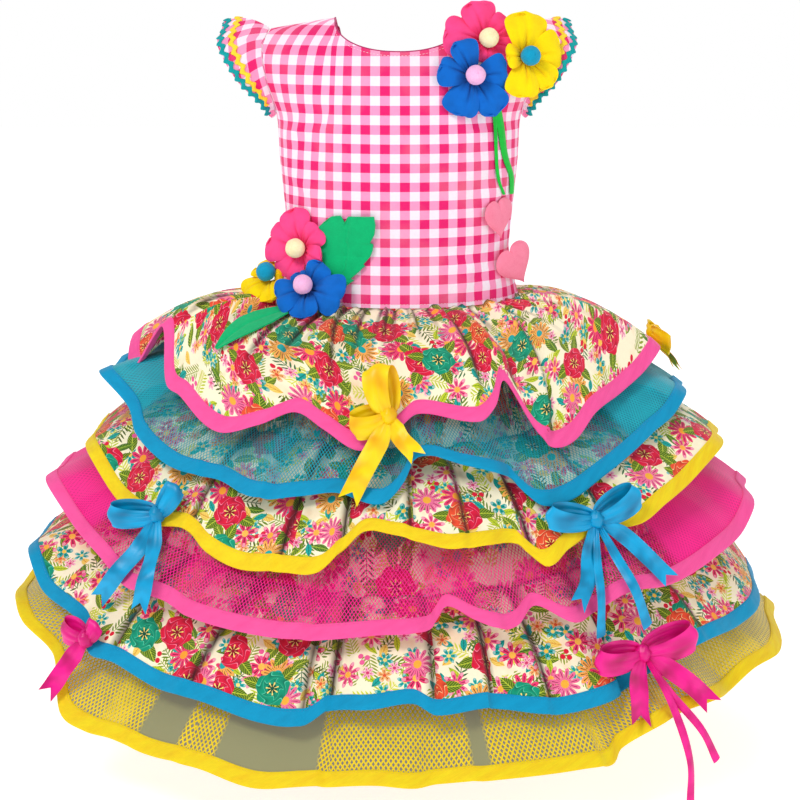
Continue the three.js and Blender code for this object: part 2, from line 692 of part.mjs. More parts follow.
function buildHeart({ name, centre, at, tilt, turn, width, height }) {
  const shape = new THREE.Shape();
  shape.moveTo(0, -height / 2);
  shape.bezierCurveTo(-width * 0.3, -height * 0.2, -width * 0.5, 0, -width / 2, height * 0.22);
  shape.bezierCurveTo(-width * 0.5, height * 0.52, -width * 0.08, height * 0.6, 0, height * 0.3);
  shape.bezierCurveTo(width * 0.08, height * 0.6, width * 0.5, height * 0.52, width / 2, height * 0.22);
  shape.bezierCurveTo(width * 0.5, 0, width * 0.3, -height * 0.2, 0, -height / 2);
  const flat = new THREE.ExtrudeGeometry(shape, { depth: FELT, bevelEnabled: false, curveSegments: 5 });
  const frame = facing(at, tilt);
  const place = new THREE.Matrix4().makeBasis(frame.right, frame.up, frame.out).setPosition(...centre);
  flat.translate(0, 0, -FELT / 2).rotateZ(radians(turn)).applyMatrix4(place);
  addPiece(name, solidGeometry(flat), "heart");
}

// Ribbon bows

function toSolid(geometry) {
  const mesh = new wasm.Mesh({
    numProp: 3,
    vertProperties: geometry.getAttribute("position").array,
    triVerts: new Uint32Array(geometry.getIndex().array),
  });
  return new wasm.Manifold(mesh);
}

function fromSolid(solid) {
  const mesh = solid.getMesh();
  const geometry = new THREE.BufferGeometry();
  geometry.setAttribute("position", new THREE.Float32BufferAttribute(mesh.vertProperties, 3));
  return geometry.setIndex([...mesh.triVerts]);
}

// Band that leaves the knot, turns at the loop's tip and comes back to the knot.
function loopGrid(place, [right, up, out, width, opening]) {
  const length = Math.hypot(right, up);
  return [-0.5, 0.5].map((edge) => steps(0, 360, 8).slice(0, -1).map((turn) => {
    const share = (1 - Math.cos(radians(turn))) / 2;
    const across = edge * width * mix(0.3, 1, Math.sin(radians(turn / 2)));
    const apart = (opening / 2) * Math.sin(radians(turn));
    return place([
      right * share - (across * up) / length, up * share + (across * right) / length, out * share + apart]);
  }));
}

function tailGrid(place, [width, ...places]) {
  const path = [[0, 0, 0], ...places];
  return path.map((point, i) => {
    const ahead = path[Math.min(i + 1, path.length - 1)];
    const behind = path[Math.max(i - 1, 0)];
    const run = [ahead[0] - behind[0], ahead[1] - behind[1]];
    const length = Math.hypot(...run);
    const half = (width / 2) * (i === 0 ? 0.3 : 1);
    return [-half, half].map((offset) => place([
      point[0] - (offset * run[1]) / length, point[1] + (offset * run[0]) / length, point[2]]));
  });
}

function buildBow(bow) {
  const frame = facing(bow.at);
  const place = (point) => placeIn(frame, bow.knot, point);
  const turn = new THREE.Matrix4().makeBasis(frame.right, frame.up, frame.out).setPosition(...bow.knot);
  const knot = solidGeometry(new THREE.IcosahedronGeometry(1, 0));
  let solid = toSolid(knot.scale(...KNOT).applyMatrix4(turn));
  for (const loop of bow.loops) solid = solid.add(toSolid(wall(loopGrid(place, loop), RIBBON, true)));
  for (const tail of bow.tails) solid = solid.add(toSolid(wall(tailGrid(place, tail), RIBBON)));
  addPiece(bow.name, fromSolid(solid), bow.satin, 0.4);
}

buildBodice();
buildSleeve("sleeve_left", 1, LEFT_SPREAD);
buildSleeve("sleeve_right", -1, RIGHT_SPREAD);
buildUnderskirt();
RUFFLES.forEach(buildRuffle);
FLOWERS.forEach(buildFlower);
buildLargeLeaf();
buildLowLeaf();
STEMS.forEach(buildStem);
HEARTS.forEach(buildHeart);
BOWS.forEach(buildBow);

export default dress;
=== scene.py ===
import math

import bpy
import numpy as np
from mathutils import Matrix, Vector


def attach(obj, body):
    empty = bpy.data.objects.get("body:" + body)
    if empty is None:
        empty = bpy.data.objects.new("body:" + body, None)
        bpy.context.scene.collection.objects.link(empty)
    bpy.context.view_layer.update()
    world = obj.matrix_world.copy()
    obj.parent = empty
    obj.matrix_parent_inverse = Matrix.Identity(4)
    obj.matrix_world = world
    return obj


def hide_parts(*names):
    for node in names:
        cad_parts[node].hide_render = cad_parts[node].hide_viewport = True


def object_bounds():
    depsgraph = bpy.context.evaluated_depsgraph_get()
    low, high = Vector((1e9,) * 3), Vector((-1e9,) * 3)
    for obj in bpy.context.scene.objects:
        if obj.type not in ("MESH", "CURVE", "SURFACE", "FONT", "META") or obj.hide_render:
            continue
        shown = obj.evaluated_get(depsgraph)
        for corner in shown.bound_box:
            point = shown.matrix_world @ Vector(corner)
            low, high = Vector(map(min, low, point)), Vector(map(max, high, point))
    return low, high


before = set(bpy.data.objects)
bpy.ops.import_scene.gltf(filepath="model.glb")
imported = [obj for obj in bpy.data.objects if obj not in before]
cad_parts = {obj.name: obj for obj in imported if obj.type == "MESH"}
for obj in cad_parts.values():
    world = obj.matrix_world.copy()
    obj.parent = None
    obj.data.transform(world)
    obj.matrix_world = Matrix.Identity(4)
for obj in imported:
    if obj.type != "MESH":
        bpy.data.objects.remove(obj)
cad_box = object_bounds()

# Camera, light and floor
# The camera stands in front of the dress, a little above its shoulders, and looks down at the skirt.
# A soft light hangs at the upper left of the view, a weaker one fills in from the right, and a third
# one lights the back.

LENS = 99.88
SENSOR_WIDTH = 36
STANDPOINT = (0, -1.85, 0.07)
CAMERA_AIM = (0.001, 0, -0.318)
LIGHT_AIM = (0, 0, -0.3)
SKY_SEEN = 1.0
SKY_LIGHT = 0.52
WHITE = (1, 1, 1, 1)

scene = bpy.context.scene
camera = bpy.data.objects.new("camera", bpy.data.cameras.new("camera"))
camera.data.lens = LENS
camera.data.sensor_width = SENSOR_WIDTH
camera.location = STANDPOINT
camera.rotation_euler = (Vector(CAMERA_AIM) - camera.location).to_track_quat("-Z", "Y").to_euler()
scene.collection.objects.link(camera)
scene.camera = camera
scene.view_settings.view_transform = "Standard"

LIGHTS = (
    ("key_light", (-1.2, -1.7, 1.7), 33, 0.8),
    ("fill_light", (1.7, -1.6, 0.5), 9, 1.4),
    ("back_light", (0.4, 1.8, 1.4), 16, 1.2),
)
for name, place, power, width in LIGHTS:
    lamp = bpy.data.objects.new(name, bpy.data.lights.new(name, "AREA"))
    lamp.data.energy = power
    lamp.data.size = width
    lamp.location = place
    lamp.rotation_euler = (Vector(LIGHT_AIM) - lamp.location).to_track_quat("-Z", "Y").to_euler()
    scene.collection.objects.link(lamp)

world = bpy.data.worlds.new("studio")
scene.world = world
world.use_nodes = True
background = world.node_tree.nodes["Background"]
background.inputs["Color"].default_value = WHITE
seen = world.node_tree.nodes.new("ShaderNodeLightPath")
strength = world.node_tree.nodes.new("ShaderNodeMapRange")
strength.inputs["To Min"].default_value = SKY_LIGHT
strength.inputs["To Max"].default_value = SKY_SEEN
world.node_tree.links.new(seen.outputs["Is Camera Ray"], strength.inputs["Value"])
world.node_tree.links.new(strength.outputs["Result"], background.inputs["Strength"])

FLOOR_DROP = 0.004
FLOOR_REACH = 6
FLOOR_GREY = (0.62, 0.62, 0.63, 1)
FLOOR_GLOW = 0.74
FLOOR_CORNERS = ((-1, -1), (1, -1), (1, 1), (-1, 1))
floor_level = cad_box[0][2] - FLOOR_DROP
floor_mesh = bpy.data.meshes.new("floor")
floor_mesh.from_pydata(
    [(x * FLOOR_REACH, y * FLOOR_REACH, floor_level) for x, y in FLOOR_CORNERS], [], [(0, 1, 2, 3)])
floor = bpy.data.objects.new("floor", floor_mesh)
scene.collection.objects.link(floor)
floor_paint = bpy.data.materials.new("floor_paint")
floor_paint.use_nodes = True
paint = floor_paint.node_tree.nodes["Principled BSDF"]
paint.inputs["Base Color"].default_value = FLOOR_GREY
paint.inputs["Roughness"].default_value = 0.9
paint.inputs["Specular IOR Level"].default_value = 0.0
paint.inputs["Emission Color"].default_value = WHITE
paint.inputs["Emission Strength"].default_value = FLOOR_GLOW
floor_mesh.materials.append(floor_paint)

# Bodice
# Gingham front in one piece and two backs, joined at the shoulders and the sides.
# A thin rose cord edges the neck, and the two backs meet in a plain seam.
# All lengths below are in millimetres, and angles in degrees round the body from the centre front.

COTTON = 1.0
SEAM_GAP = 0.9
WAIST_LEVEL = -226
NECK_HALF = 52
NECK_LEVEL = 3
SHOULDER_SLOPE = 9 / 53
SHOULDER_ROUND = 95
SHOULDER_TIP = -6
# Each oval of the torso: its level, half width, and depth to the front and to the back.
BODICE_OVALS = (
    (-226, 100, 78, 70),
    (-205, 94.5, 74, 65),
    (-185, 91.5, 71, 61),
    (-157, 94, 74, 62),
    (-110, 98.5, 78, 66),
    (-83, 99.6, 77, 66),
    (3, 104, 76, 66),
)
# Each place on the armhole's edge: its level, half width and angle.
ARMHOLE = (
    (-83, 99.6, 90),
    (-67, 101, 75),
    (-46, 107, 65),
    (-30, 110, 61),
    (-17, 110.5, 61),
    (-6, 105, 60),
    (3, 105, 60),
)
FRONT = {"sign": -1, "depth": 2, "neck": 25}
BACK = {"sign": 1, "depth": 3, "neck": 42}


def between(rows, place, column):
    return np.interp(place, [row[0] for row in rows], [row[column] for row in rows])


def shoulder_level(x):
    return NECK_LEVEL - np.maximum(np.abs(x) - NECK_HALF, 0) * SHOULDER_SLOPE


def bodice_point(panel, share, level):
    under_arm = level < ARMHOLE[0][0]
    reach = np.radians(np.where(under_arm, 90, between(ARMHOLE, level, 2)))
    half = np.where(under_arm, between(BODICE_OVALS, level, 1), between(ARMHOLE, level, 1) / np.sin(reach))
    x = half * np.sin(share * reach)
    below = np.clip((shoulder_level(x) - level) / SHOULDER_ROUND, 0, 1)
    rounding = (1 - (1 - below) ** 2.2) ** (1 / 2.2)
    depth = between(BODICE_OVALS, level, panel["depth"]) * np.cos(share * reach) * rounding
    return np.stack([x, panel["sign"] * (SEAM_GAP / 2 + depth), level], -1)


def bodice_surface(panel, share, down):
    top = np.full(np.shape(share), float(NECK_LEVEL))
    for _ in range(4):
        x = bodice_point(panel, share, top)[..., 0]
        part = np.minimum(np.abs(x) / NECK_HALF, 1)
        top = shoulder_level(x) - panel["neck"] * (1 - part**2.2) ** (1 / 2.2)
    return bodice_point(panel, share, top + (WAIST_LEVEL - top) * down)


# Wrinkles of the worn bodice, as strokes: two ends across and up, the height and the half-width.
FRONT_WRINKLES = (
    ((78, -205), (30, -186), 1.6, 5),
    ((84, -216), (52, -205), 1.4, 4),
    ((-88, -120), (-66, -140), 1.2, 5),
    ((90, -120), (64, -150), 1.4, 6),
    ((-90, -95), (-70, -70), 1.3, 5),
    ((-30, -222), (-22, -196), 1.0, 4),
    ((14, -222), (6, -190), 1.2, 5),
    ((48, -222), (60, -192), 1.2, 5),
    ((-60, -60), (-20, -74), 0.8, 8),
    ((60, -90), (20, -104), 0.8, 8),
)
BACK_WRINKLES = (
    ((-80, -205), (-34, -188), 1.5, 5),
    ((80, -208), (40, -190), 1.5, 5),
    ((-84, -100), (-60, -128), 1.4, 6),
    ((86, -104), (58, -126), 1.4, 6),
    ((20, -220), (28, -190), 1.1, 5),
    ((-50, -222), (-42, -196), 1.1, 5),
)


def stroke_relief(strokes, across, up):
    """Height of soft ridges drawn on a flat plan of the cloth."""
    relief = np.zeros(np.shape(across))
    for (x0, y0), (x1, y1), height, half_width in strokes:
        run = np.hypot(x1 - x0, y1 - y0)
        along = ((across - x0) * (x1 - x0) + (up - y0) * (y1 - y0)) / run**2
        aside = ((across - x0) * (y1 - y0) - (up - y0) * (x1 - x0)) / run
        ends = np.clip(1 - np.abs(2 * np.clip(along, -0.2, 1.2) - 1) / 1.4, 0, 1)
        ridge = np.exp(-((aside / half_width) ** 2))
        trough = np.exp(-(((aside - 1.6 * half_width) / half_width) ** 2))
        relief += height * ends ** 0.7 * (ridge - 0.5 * trough)
    return relief


def unit(vectors):
    """The same directions with a length of one."""
    return vectors / np.linalg.norm(vectors, axis=-1, keepdims=True)


def lengths_along(grid, axis):
    """Length measured along rows of points from the first one."""
    steps = np.cumsum(np.linalg.norm(np.diff(grid, axis=axis), axis=-1), axis)
    return np.concatenate([np.zeros_like(steps.take([0], axis)), steps], axis)


def flat_strip(along, across):
    """Places on a flat strip of cloth: each length along it, at each distance across it."""
    return np.stack(np.meshgrid(along, across), -1)


def normals_of(grid, ring=False):
    if ring:
        across = np.roll(grid, -1, 1) - np.roll(grid, 1, 1)
    else:
        wide = np.concatenate([grid[:, :1], grid, grid[:, -1:]], 1)
        across = wide[:, 2:] - wide[:, :-2]
    tall = np.concatenate([grid[:1], grid, grid[-1:]], 0)
    along = tall[2:] - tall[:-2]
    normal = np.cross(across, along)
    return normal / np.maximum(np.linalg.norm(normal, axis=-1, keepdims=True), 1e-9)


def sew(
    name, grid, cut, finish, nodes=(), thickness=COTTON, ring=False, tube=False, marks=None, breaks=()):
    """Makes a piece from rows of points: cloth of a thickness, a single sheet, or a tube.

    cut is each point's place on the flat cloth; at a break the next column starts another length of it.
    """
    onward = np.concatenate([cut[:, 1:], cut[:, -1:]], 1)
    for column in breaks:
        onward[:, column] = 2 * cut[:, column] - cut[:, column - 1]
    rows, columns = grid.shape[:2]
    if thickness:
        normal = normals_of(grid, ring)
        layers = [grid + normal * thickness / 2, grid - normal * thickness / 2]
    else:
        layers = [grid]
    points = np.concatenate([layer.reshape(-1, 3) for layer in layers]) * 0.001
    i, j = np.meshgrid(
        np.arange(rows if tube else rows - 1), np.arange(columns if ring else columns - 1), indexing="ij")
    i, j = i.ravel(), j.ravel()

    def corners(places):
        at = np.stack([(a % rows) * columns + b % columns for a, b in places], 1)
        left = np.minimum.reduce([b for _, b in places])
        flat = [np.where((b > left)[:, None], onward[a % rows, left], cut[a % rows, left]) for a, b in places]
        return at, np.stack(flat, 1)

    near = ((i, j), (i, j + 1), (i + 1, j + 1), (i + 1, j))
    faces = [corners(near)]
    if thickness:
        inner = rows * columns
        at, flat = corners(near[::-1])
        faces.append((at + inner, flat))
        span = np.arange(columns if ring else columns - 1)
        for row, order in ((0, (3, 2, 1, 0)), (rows - 1, (0, 1, 2, 3))):
            still = np.full(len(span), row)
            at, flat = corners(((still, span), (still, span + 1), (still, span + 1), (still, span)))
            at[:, 2:] += inner
            faces.append((at[:, order], flat[:, order]))
        if not ring:
            down = np.arange(rows - 1)
            for column, order in ((0, (0, 1, 2, 3)), (columns - 1, (3, 2, 1, 0))):
                still = np.full(len(down), column)
                at, flat = corners(((down, still), (down + 1, still), (down + 1, still), (down, still)))
                at[:, 2:] += inner
                faces.append((at[:, order], flat[:, order]))
    quads = np.concatenate([face for face, _ in faces])
    flats = np.concatenate([flat for _, flat in faces])
    return piece_of(
        name, points, quads.tolist(), flats.reshape(-1, 2), finish, nodes, marks, len(layers))


SHARP_FROM = 55


def part_of_dress(name, mesh):
    piece = bpy.data.objects.new(name, mesh)
    scene.collection.objects.link(piece)
    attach(piece, "root")
    return piece


def piece_of(name, points, faces, flats, finish, nodes=(), marks=None, layers=1):
    mesh = bpy.data.meshes.new(name)
    mesh.from_pydata(points.tolist(), [], faces)
    if flats is not None:
        layer = mesh.uv_layers.new(name="cut")
        layer.data.foreach_set("uv", np.asarray(flats, np.float32).ravel())
    for label, values in (marks or {}).items():
        store = mesh.attributes.new(label, "FLOAT", "POINT")
        store.data.foreach_set("value", np.tile(np.asarray(values, np.float32).ravel(), layers))
    mesh.polygons.foreach_set("use_smooth", [True] * len(mesh.polygons))
    mesh.set_sharp_from_angle(angle=math.radians(SHARP_FROM))
    mesh.materials.append(finish)
    piece = part_of_dress(name, mesh)
    if nodes:
        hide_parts(*nodes)
    return piece


class Figure:
    """A number that changes over a surface, worked out by shader nodes."""

    def __init__(self, tree, socket):
        self.tree = tree
        self.socket = socket

    def work(self, operation, *others):
        node = self.tree.nodes.new("ShaderNodeMath")
        node.operation = operation
        for place, value in zip(node.inputs, (self, *others)):
            set_or_link(self.tree, place, value)
        return Figure(self.tree, node.outputs[0])

    def __add__(self, other):
        return self.work("ADD", other)

    def __sub__(self, other):
        return self.work("SUBTRACT", other)

    def __mul__(self, other):
        return self.work("MULTIPLY", other)

    def __truediv__(self, other):
        return self.work("DIVIDE", other)

    def __pow__(self, other):
        return self.work("POWER", other)

    def size(self):
        return self.work("ABSOLUTE")

    def sine(self):
        return self.work("SINE")

    def cosine(self):
        return self.work("COSINE")

    def part(self):
        return self.work("FRACT")

    def under(self, limit):
        return self.work("LESS_THAN", limit)

    def over(self, limit):
        return self.work("GREATER_THAN", limit)

    def also(self, other):
        return self.work("MULTIPLY", other)

    def either(self, other):
        return self.work("MAXIMUM", other)

    def flipped(self):
        return (self * -1.0) + 1.0


def colour_of(code):
    """Linear colour of a six-digit code."""
    channels = [int(code[i:i + 2], 16) / 255 for i in (0, 2, 4)]
    return tuple(c / 12.92 if c <= 0.04045 else ((c + 0.055) / 1.055) ** 2.4 for c in channels) + (1.0,)


def set_or_link(tree, place, value):
    if isinstance(value, Figure):
        tree.links.new(value.socket, place)
    elif isinstance(value, str):
        place.default_value = colour_of(value)
    elif isinstance(value, bpy.types.NodeSocket):
        tree.links.new(value, place)
    else:
        place.default_value = value


def add_node(tree, kind, inputs, **settings):
    """A node with its settings; each input is a value or comes from another node."""
    node = tree.nodes.new(kind)
    for label, value in settings.items():
        setattr(node, label, value)
    for place, value in inputs.items():
        set_or_link(tree, node.inputs[place], value)
    return node


def dye(tree, under, over, mask):
    """One colour laid over another where the mask says."""
    return add_node(tree, "ShaderNodeMix", {"Factor": mask, 6: under, 7: over}, data_type="RGBA").outputs[2]


def effect(name, inputs, outputs, made_of="ShaderNodeTree"):
    """An empty node group with named inputs and outputs."""
    tree = bpy.data.node_groups.new(name, made_of)
    for label, kind, start in inputs:
        socket = tree.interface.new_socket(label, in_out="INPUT", socket_type="NodeSocket" + kind)
        if start is not None:
            socket.default_value = start
    for label, kind in outputs:
        tree.interface.new_socket(label, in_out="OUTPUT", socket_type="NodeSocket" + kind)
    return tree, tree.nodes.new("NodeGroupInput"), tree.nodes.new("NodeGroupOutput")


def use(tree, group, **values):
    return add_node(tree, "ShaderNodeGroup", values, node_tree=group)


def across_and_along(tree, vector):
    parts = add_node(tree, "ShaderNodeSeparateXYZ", {0: vector}).outputs
    return Figure(tree, parts[0]), Figure(tree, parts[1])


def noise(tree, vector, scale, detail=2.0):
    node = add_node(tree, "ShaderNodeTexNoise", {"Vector": vector, "Scale": scale, "Detail": detail})
    return Figure(tree, node.outputs["Fac"])


def bumped(tree, height, strength, depth):
    """The way the surface faces, tilted by small heights."""
    bump = add_node(tree, "ShaderNodeBump", {"Height": height, "Strength": strength, "Distance": depth})
    return bump.outputs["Normal"]


# Plain weave: threads over and under each other, a little uneven, for every cotton here.
weave, given, made = effect(
    "plain_weave",
    (("Cut", "Vector", None), ("Thread", "Float", 0.45), ("Depth", "Float", 0.05), ("Slub", "Float", 0.1)),
    (("Normal", "Vector"), ("Shade", "Float")),
)
u, v = across_and_along(weave, given.outputs["Cut"])
pitch = Figure(weave, given.outputs["Thread"])
warp = (u * math.pi / pitch).sine()
weft = (v * math.pi / pitch).sine()
crossing = warp * weft * 0.5 + 0.5
uneven = noise(weave, given.outputs["Cut"], 0.35, 3.0)
tilted = bumped(weave, crossing * 0.7 + uneven * 0.8, 0.5, given.outputs["Depth"])
weave.links.new(tilted, made.inputs["Normal"])
shade = (crossing - 0.5) * 0.12 + (uneven - 0.5) * Figure(weave, given.outputs["Slub"]) + 1.0
weave.links.new(shade.socket, made.inputs["Shade"])


def cloth_finish(name, roughness=0.85, sheen=0.08):
    """A material with its own tree, the cut's coordinates in millimetres and the shader."""
    material = bpy.data.materials.new(name)
    material.use_nodes = True
    tree = material.node_tree
    shader = tree.nodes["Principled BSDF"]
    shader.inputs["Roughness"].default_value = roughness
    shader.inputs["Sheen Weight"].default_value = sheen
    shader.inputs["Sheen Roughness"].default_value = 0.5
    shader.inputs["Specular IOR Level"].default_value = 0.15
    cut = add_node(tree, "ShaderNodeUVMap", {}, uv_map="cut")
    return material, tree, shader, cut.outputs["UV"]


def mark(tree, label):
    """A mark that the mesh carries at its points."""
    return Figure(tree, add_node(tree, "ShaderNodeAttribute", {}, attribute_name=label).outputs["Fac"])


def woven(tree, shader, cut, colour, thread=0.45, depth=0.00008, slub=0.1):
    """Finishes a woven cloth: threads in its bump and in its colour."""
    threads = use(tree, weave, Cut=cut, Thread=thread, Depth=depth, Slub=slub)
    tree.links.new(threads.outputs["Normal"], shader.inputs["Normal"])
    shaded = {0: colour, "Scale": threads.outputs["Shade"]}
    tint = add_node(tree, "ShaderNodeVectorMath", shaded, operation="SCALE")
    tree.links.new(tint.outputs[0], shader.inputs["Base Color"])


CHECK = (15.9, 15.2)
CHECK_START = (-0.9, 10.2)
gingham, tree, shader, cut = cloth_finish("gingham")
u, v = across_and_along(tree, cut)
columns = ((u + CHECK_START[0]) / CHECK[0]).part().under(0.5)
lines = ((v + CHECK_START[1]) / CHECK[1]).part().under(0.5)
single = dye(tree, "FCEAF7", "FF9BC6", columns.either(lines))
checked = dye(tree, single, "EA2270", columns.also(lines))
washed = dye(tree, checked, "FFE4DC", (noise(tree, cut, 0.02) - 0.45) * 0.5)
woven(tree, shader, cut, washed, 0.45, 0.0001, 0.14)

SHARES = 60
LINES = 64


def bodice_panel(name, panel, shares, wrinkles, nodes):
    share, down = np.meshgrid(shares, np.linspace(0, 1, LINES) ** 1.25)
    grid = bodice_surface(panel, share, down)
    if panel is BACK:
        grid[:, 0, 0] = np.sign(shares[-1]) * SEAM_GAP / 2
    step = np.linalg.norm(np.diff(grid, axis=1), axis=-1) * np.sign(shares[-1] - shares[0])
    run = np.concatenate([np.zeros((len(grid), 1)), np.cumsum(step, 1)], 1)
    run -= run[:, [np.argmin(np.abs(shares))]]
    cut = np.stack([run, grid[..., 2]], -1)
    normal = normals_of(grid)
    normal *= np.sign(normal[..., 1:2] * panel["sign"])
    edge = np.clip(np.minimum(1 - np.abs(share), np.minimum(down * 3, (1 - down) * 3)) * 6, 0, 1)
    relief = stroke_relief(wrinkles, grid[..., 0], grid[..., 2])
    grid = grid + normal * (relief * edge)[..., None]
    return sew(name, grid, cut, gingham, nodes)


CORD_RADIUS = 0.8
CORD_SIDES = 8
CORD_STEP = 0.8
NECK_POINTS = 150


def cording(name, line, radius, finish):
    """A thin round cord laid along a closed line."""
    ahead = unit(np.roll(line, -1, 0) - np.roll(line, 1, 0))
    side = unit(np.cross(ahead, (0, 0, 1.0)))
    over = np.cross(side, ahead)
    turn = np.linspace(0, 2 * np.pi, CORD_SIDES + 1)[:-1]
    grid = np.array([line + radius * (side * math.cos(a) + over * math.sin(a)) for a in turn])
    flat = flat_strip(np.arange(len(line) + 1) * CORD_STEP, turn)
    return sew(name, grid, flat, finish, thickness=0, ring=True, tube=True)


def cotton(name, colour, dark, thread=0.5, roughness=0.8, sheen=0.1):
    """Plain dyed cotton with a little wear in its colour."""
    material, tree, shader, cut = cloth_finish(name, roughness, sheen)
    worn = dye(tree, colour, dark, (noise(tree, cut, 0.08, 3.0) - 0.35) * 0.9)
    woven(tree, shader, cut, worn, thread, 0.00015, 0.18)
    return material


front_cloth = bodice_panel(
    "bodice_front_cloth", FRONT, np.linspace(-1, 1, 2 * SHARES + 1), FRONT_WRINKLES, ["bodice_front"])
NECK_SHARE = 0.4245
neck_shares = np.linspace(-NECK_SHARE, NECK_SHARE, NECK_POINTS)
neck_edge = np.concatenate([
    bodice_surface(FRONT, neck_shares, np.zeros(NECK_POINTS)),
    bodice_surface(BACK, np.linspace(NECK_SHARE, -NECK_SHARE, NECK_POINTS)[1:-1], np.zeros(NECK_POINTS - 2))])
neckline_rose = cotton("neckline_rose", "B8306A", "8E1F50")
neck_cord = cording("neckline_cord", neck_edge, CORD_RADIUS, neckline_rose)
for side, sign in (("left", 1), ("right", -1)):
    back_cloth = bodice_panel(
        "bodice_back_%s_cloth" % side, BACK, sign * np.linspace(0, 1, SHARES + 1), BACK_WRINKLES,
        ["bodice_back_" + side])

# Cap sleeves
# Short gathered caps of the same gingham, sewn into the armholes, wider on the wearer's right.
# Each has teal zigzag braid along its edge and a yellow one further in, both laid on the cloth.

SLEEVE_END = -76
SLEEVE = (
    (0, 3, 1, -2),
    (0.1, 10, 5, -3),
    (0.2, 21, 9, -4),
    (0.3, 32, 9, -5),
    (0.4, 39, 6, -2),
    (0.5, 36, 0, 6),
)
LIE_GAP = 0.4
CAD_COTTON = 1.4
BRAID_WIDTH = 4.8
BRAID_SWING = 1.45
BRAID_SLANT = 0.5
BRAID_PERIOD = 8.4
BRAID_LIFT = 0.9
BRAID_PROFILE = (
    (-0.5, 0.0), (-0.42, 0.8), (-0.15, 1.1), (0.15, 1.1), (0.42, 0.8), (0.5, 0.0),
    (0.3, -0.25), (-0.3, -0.25),
)


def sleeve_surface(side, spread, place, across):
    half = np.minimum(place, 1 - place)
    level = SLEEVE_END + (SHOULDER_TIP - SLEEVE_END) * np.sin(np.pi * half) ** 1.3
    front = bodice_point(FRONT, np.ones_like(place), level)
    back = bodice_point(BACK, np.ones_like(place), level)
    sign = np.where(place < 0.5, -1, 1)
    edge = np.where((place < 0.5)[..., None], front, back)
    swell = np.sin(np.pi * half)
    flute = 2.5 * np.sin(2 * np.pi * 4 * place) * across * swell
    puff = 5 * 4 * across * (1 - across) * swell
    gather = 0.7 * np.sin(2 * np.pi * 15 * place + 1.5 * np.sin(9 * place)) * np.exp(-across / 0.35) * swell
    x = edge[..., 0] + CAD_COTTON + LIE_GAP + across * between(SLEEVE, half, 1) * spread
    closing = np.clip((0.5 - half) / 0.03, 0, 1)
    y = (edge[..., 1] + sign * across * between(SLEEVE, half, 2)) * closing
    z = level + across * between(SLEEVE, half, 3) + flute + puff + gather
    return np.stack([side * x, y, z], -1)


def zigzag(name, surface, places, across, middle, finish, nodes):
    """Braid woven in waves, laid along a line of a surface."""
    fine = np.linspace(places[0], places[1], 300)
    line = surface(fine, np.full_like(fine, across))
    run = lengths_along(line, 0)
    length = np.linspace(0, run[-1], int(run[-1] / 0.5))
    at = np.interp(length, run, fine)
    here = surface(at, np.full_like(at, across))
    aside = unit(surface(at, np.full_like(at, across + 0.02)) - surface(at, np.full_like(at, across - 0.02)))
    ahead = unit(np.gradient(here, axis=0))
    out = np.cross(ahead, aside)
    out *= np.sign(np.sum(out * (here - middle), axis=1, keepdims=True))
    wave = BRAID_SWING * np.sin(2 * np.pi * length / BRAID_PERIOD)
    slant = BRAID_SLANT * np.cos(2 * np.pi * length / BRAID_PERIOD)
    grid = []
    for share, height in BRAID_PROFILE:
        sideways = aside * (wave + share * BRAID_WIDTH)[:, None]
        grid.append(here + sideways + ahead * (slant * share)[:, None] + out * (BRAID_LIFT + height))
    cut = flat_strip(length, [share * BRAID_WIDTH for share, _ in BRAID_PROFILE])
    return sew(name, np.array(grid), cut, finish, nodes, thickness=0, tube=True)


braid_teal = cotton("braid_teal", "0CA3A6", "047E80", 0.8)
braid_yellow = cotton("braid_yellow", "FFE03C", "F2AE14", 0.8)
for side, sign, spread in (("left", 1, 0.92), ("right", -1, 1.0)):
    def cap(place, across, sign=sign, spread=spread):
        return sleeve_surface(sign, spread, place, across)

    place, across = np.meshgrid(np.linspace(0, 1, 121), np.linspace(0, 1, 24))
    grid = cap(place, across)
    cut = np.stack([lengths_along(grid, 1), lengths_along(grid, 0)], -1)
    sleeve = sew("sleeve_%s_cloth" % side, grid, cut, gingham, ["sleeve_" + side])
    middle = np.array([sign * 88.0, 0, -60])
    trims = [
        zigzag("sleeve_%s_braid_teal" % side, cap, (0.035, 0.965), 0.93, middle, braid_teal,
               ["sleeve_%s_braid_edge" % side]),
        zigzag("sleeve_%s_braid_yellow" % side, cap, (0.07, 0.93), 0.68, middle, braid_yellow,
               ["sleeve_%s_braid_inner" % side]),
    ]

# Flower print
# Roses with leaves, daisies, small stars, sprigs, single leaves and berries on cream cotton.
# Each kind is scattered in its own loose grid, and later kinds lie over earlier ones.


def scatter(tree, cut, cell, start, looseness=0.7):
    """Distance and direction from the nearest of many scattered places, and two numbers of its own."""
    in_cells = {0: cut, 1: (1 / cell, 1 / cell, 0), 2: (*start, 0)}
    moved = add_node(tree, "ShaderNodeVectorMath", in_cells, operation="MULTIPLY_ADD").outputs[0]
    loose = {"Vector": moved, "Scale": 1.0, "Randomness": looseness}
    cells = add_node(tree, "ShaderNodeTexVoronoi", loose, voronoi_dimensions="2D")
    from_nearest = {0: moved, 1: cells.outputs["Position"]}
    apart = add_node(tree, "ShaderNodeVectorMath", from_nearest, operation="SUBTRACT")
    x, y = across_and_along(tree, apart.outputs[0])
    own = add_node(tree, "ShaderNodeSeparateColor", {0: cells.outputs["Color"]})
    first, second, third = (Figure(tree, own.outputs[k]) for k in range(3))
    distance = ((x * x + y * y) ** 0.5) * cell
    direction = y.work("ARCTAN2", x) + first * (2 * math.pi)
    return distance, direction, second, third


def lobes(direction, count, sharpness):
    return (direction * (count / 2)).cosine().size() ** sharpness


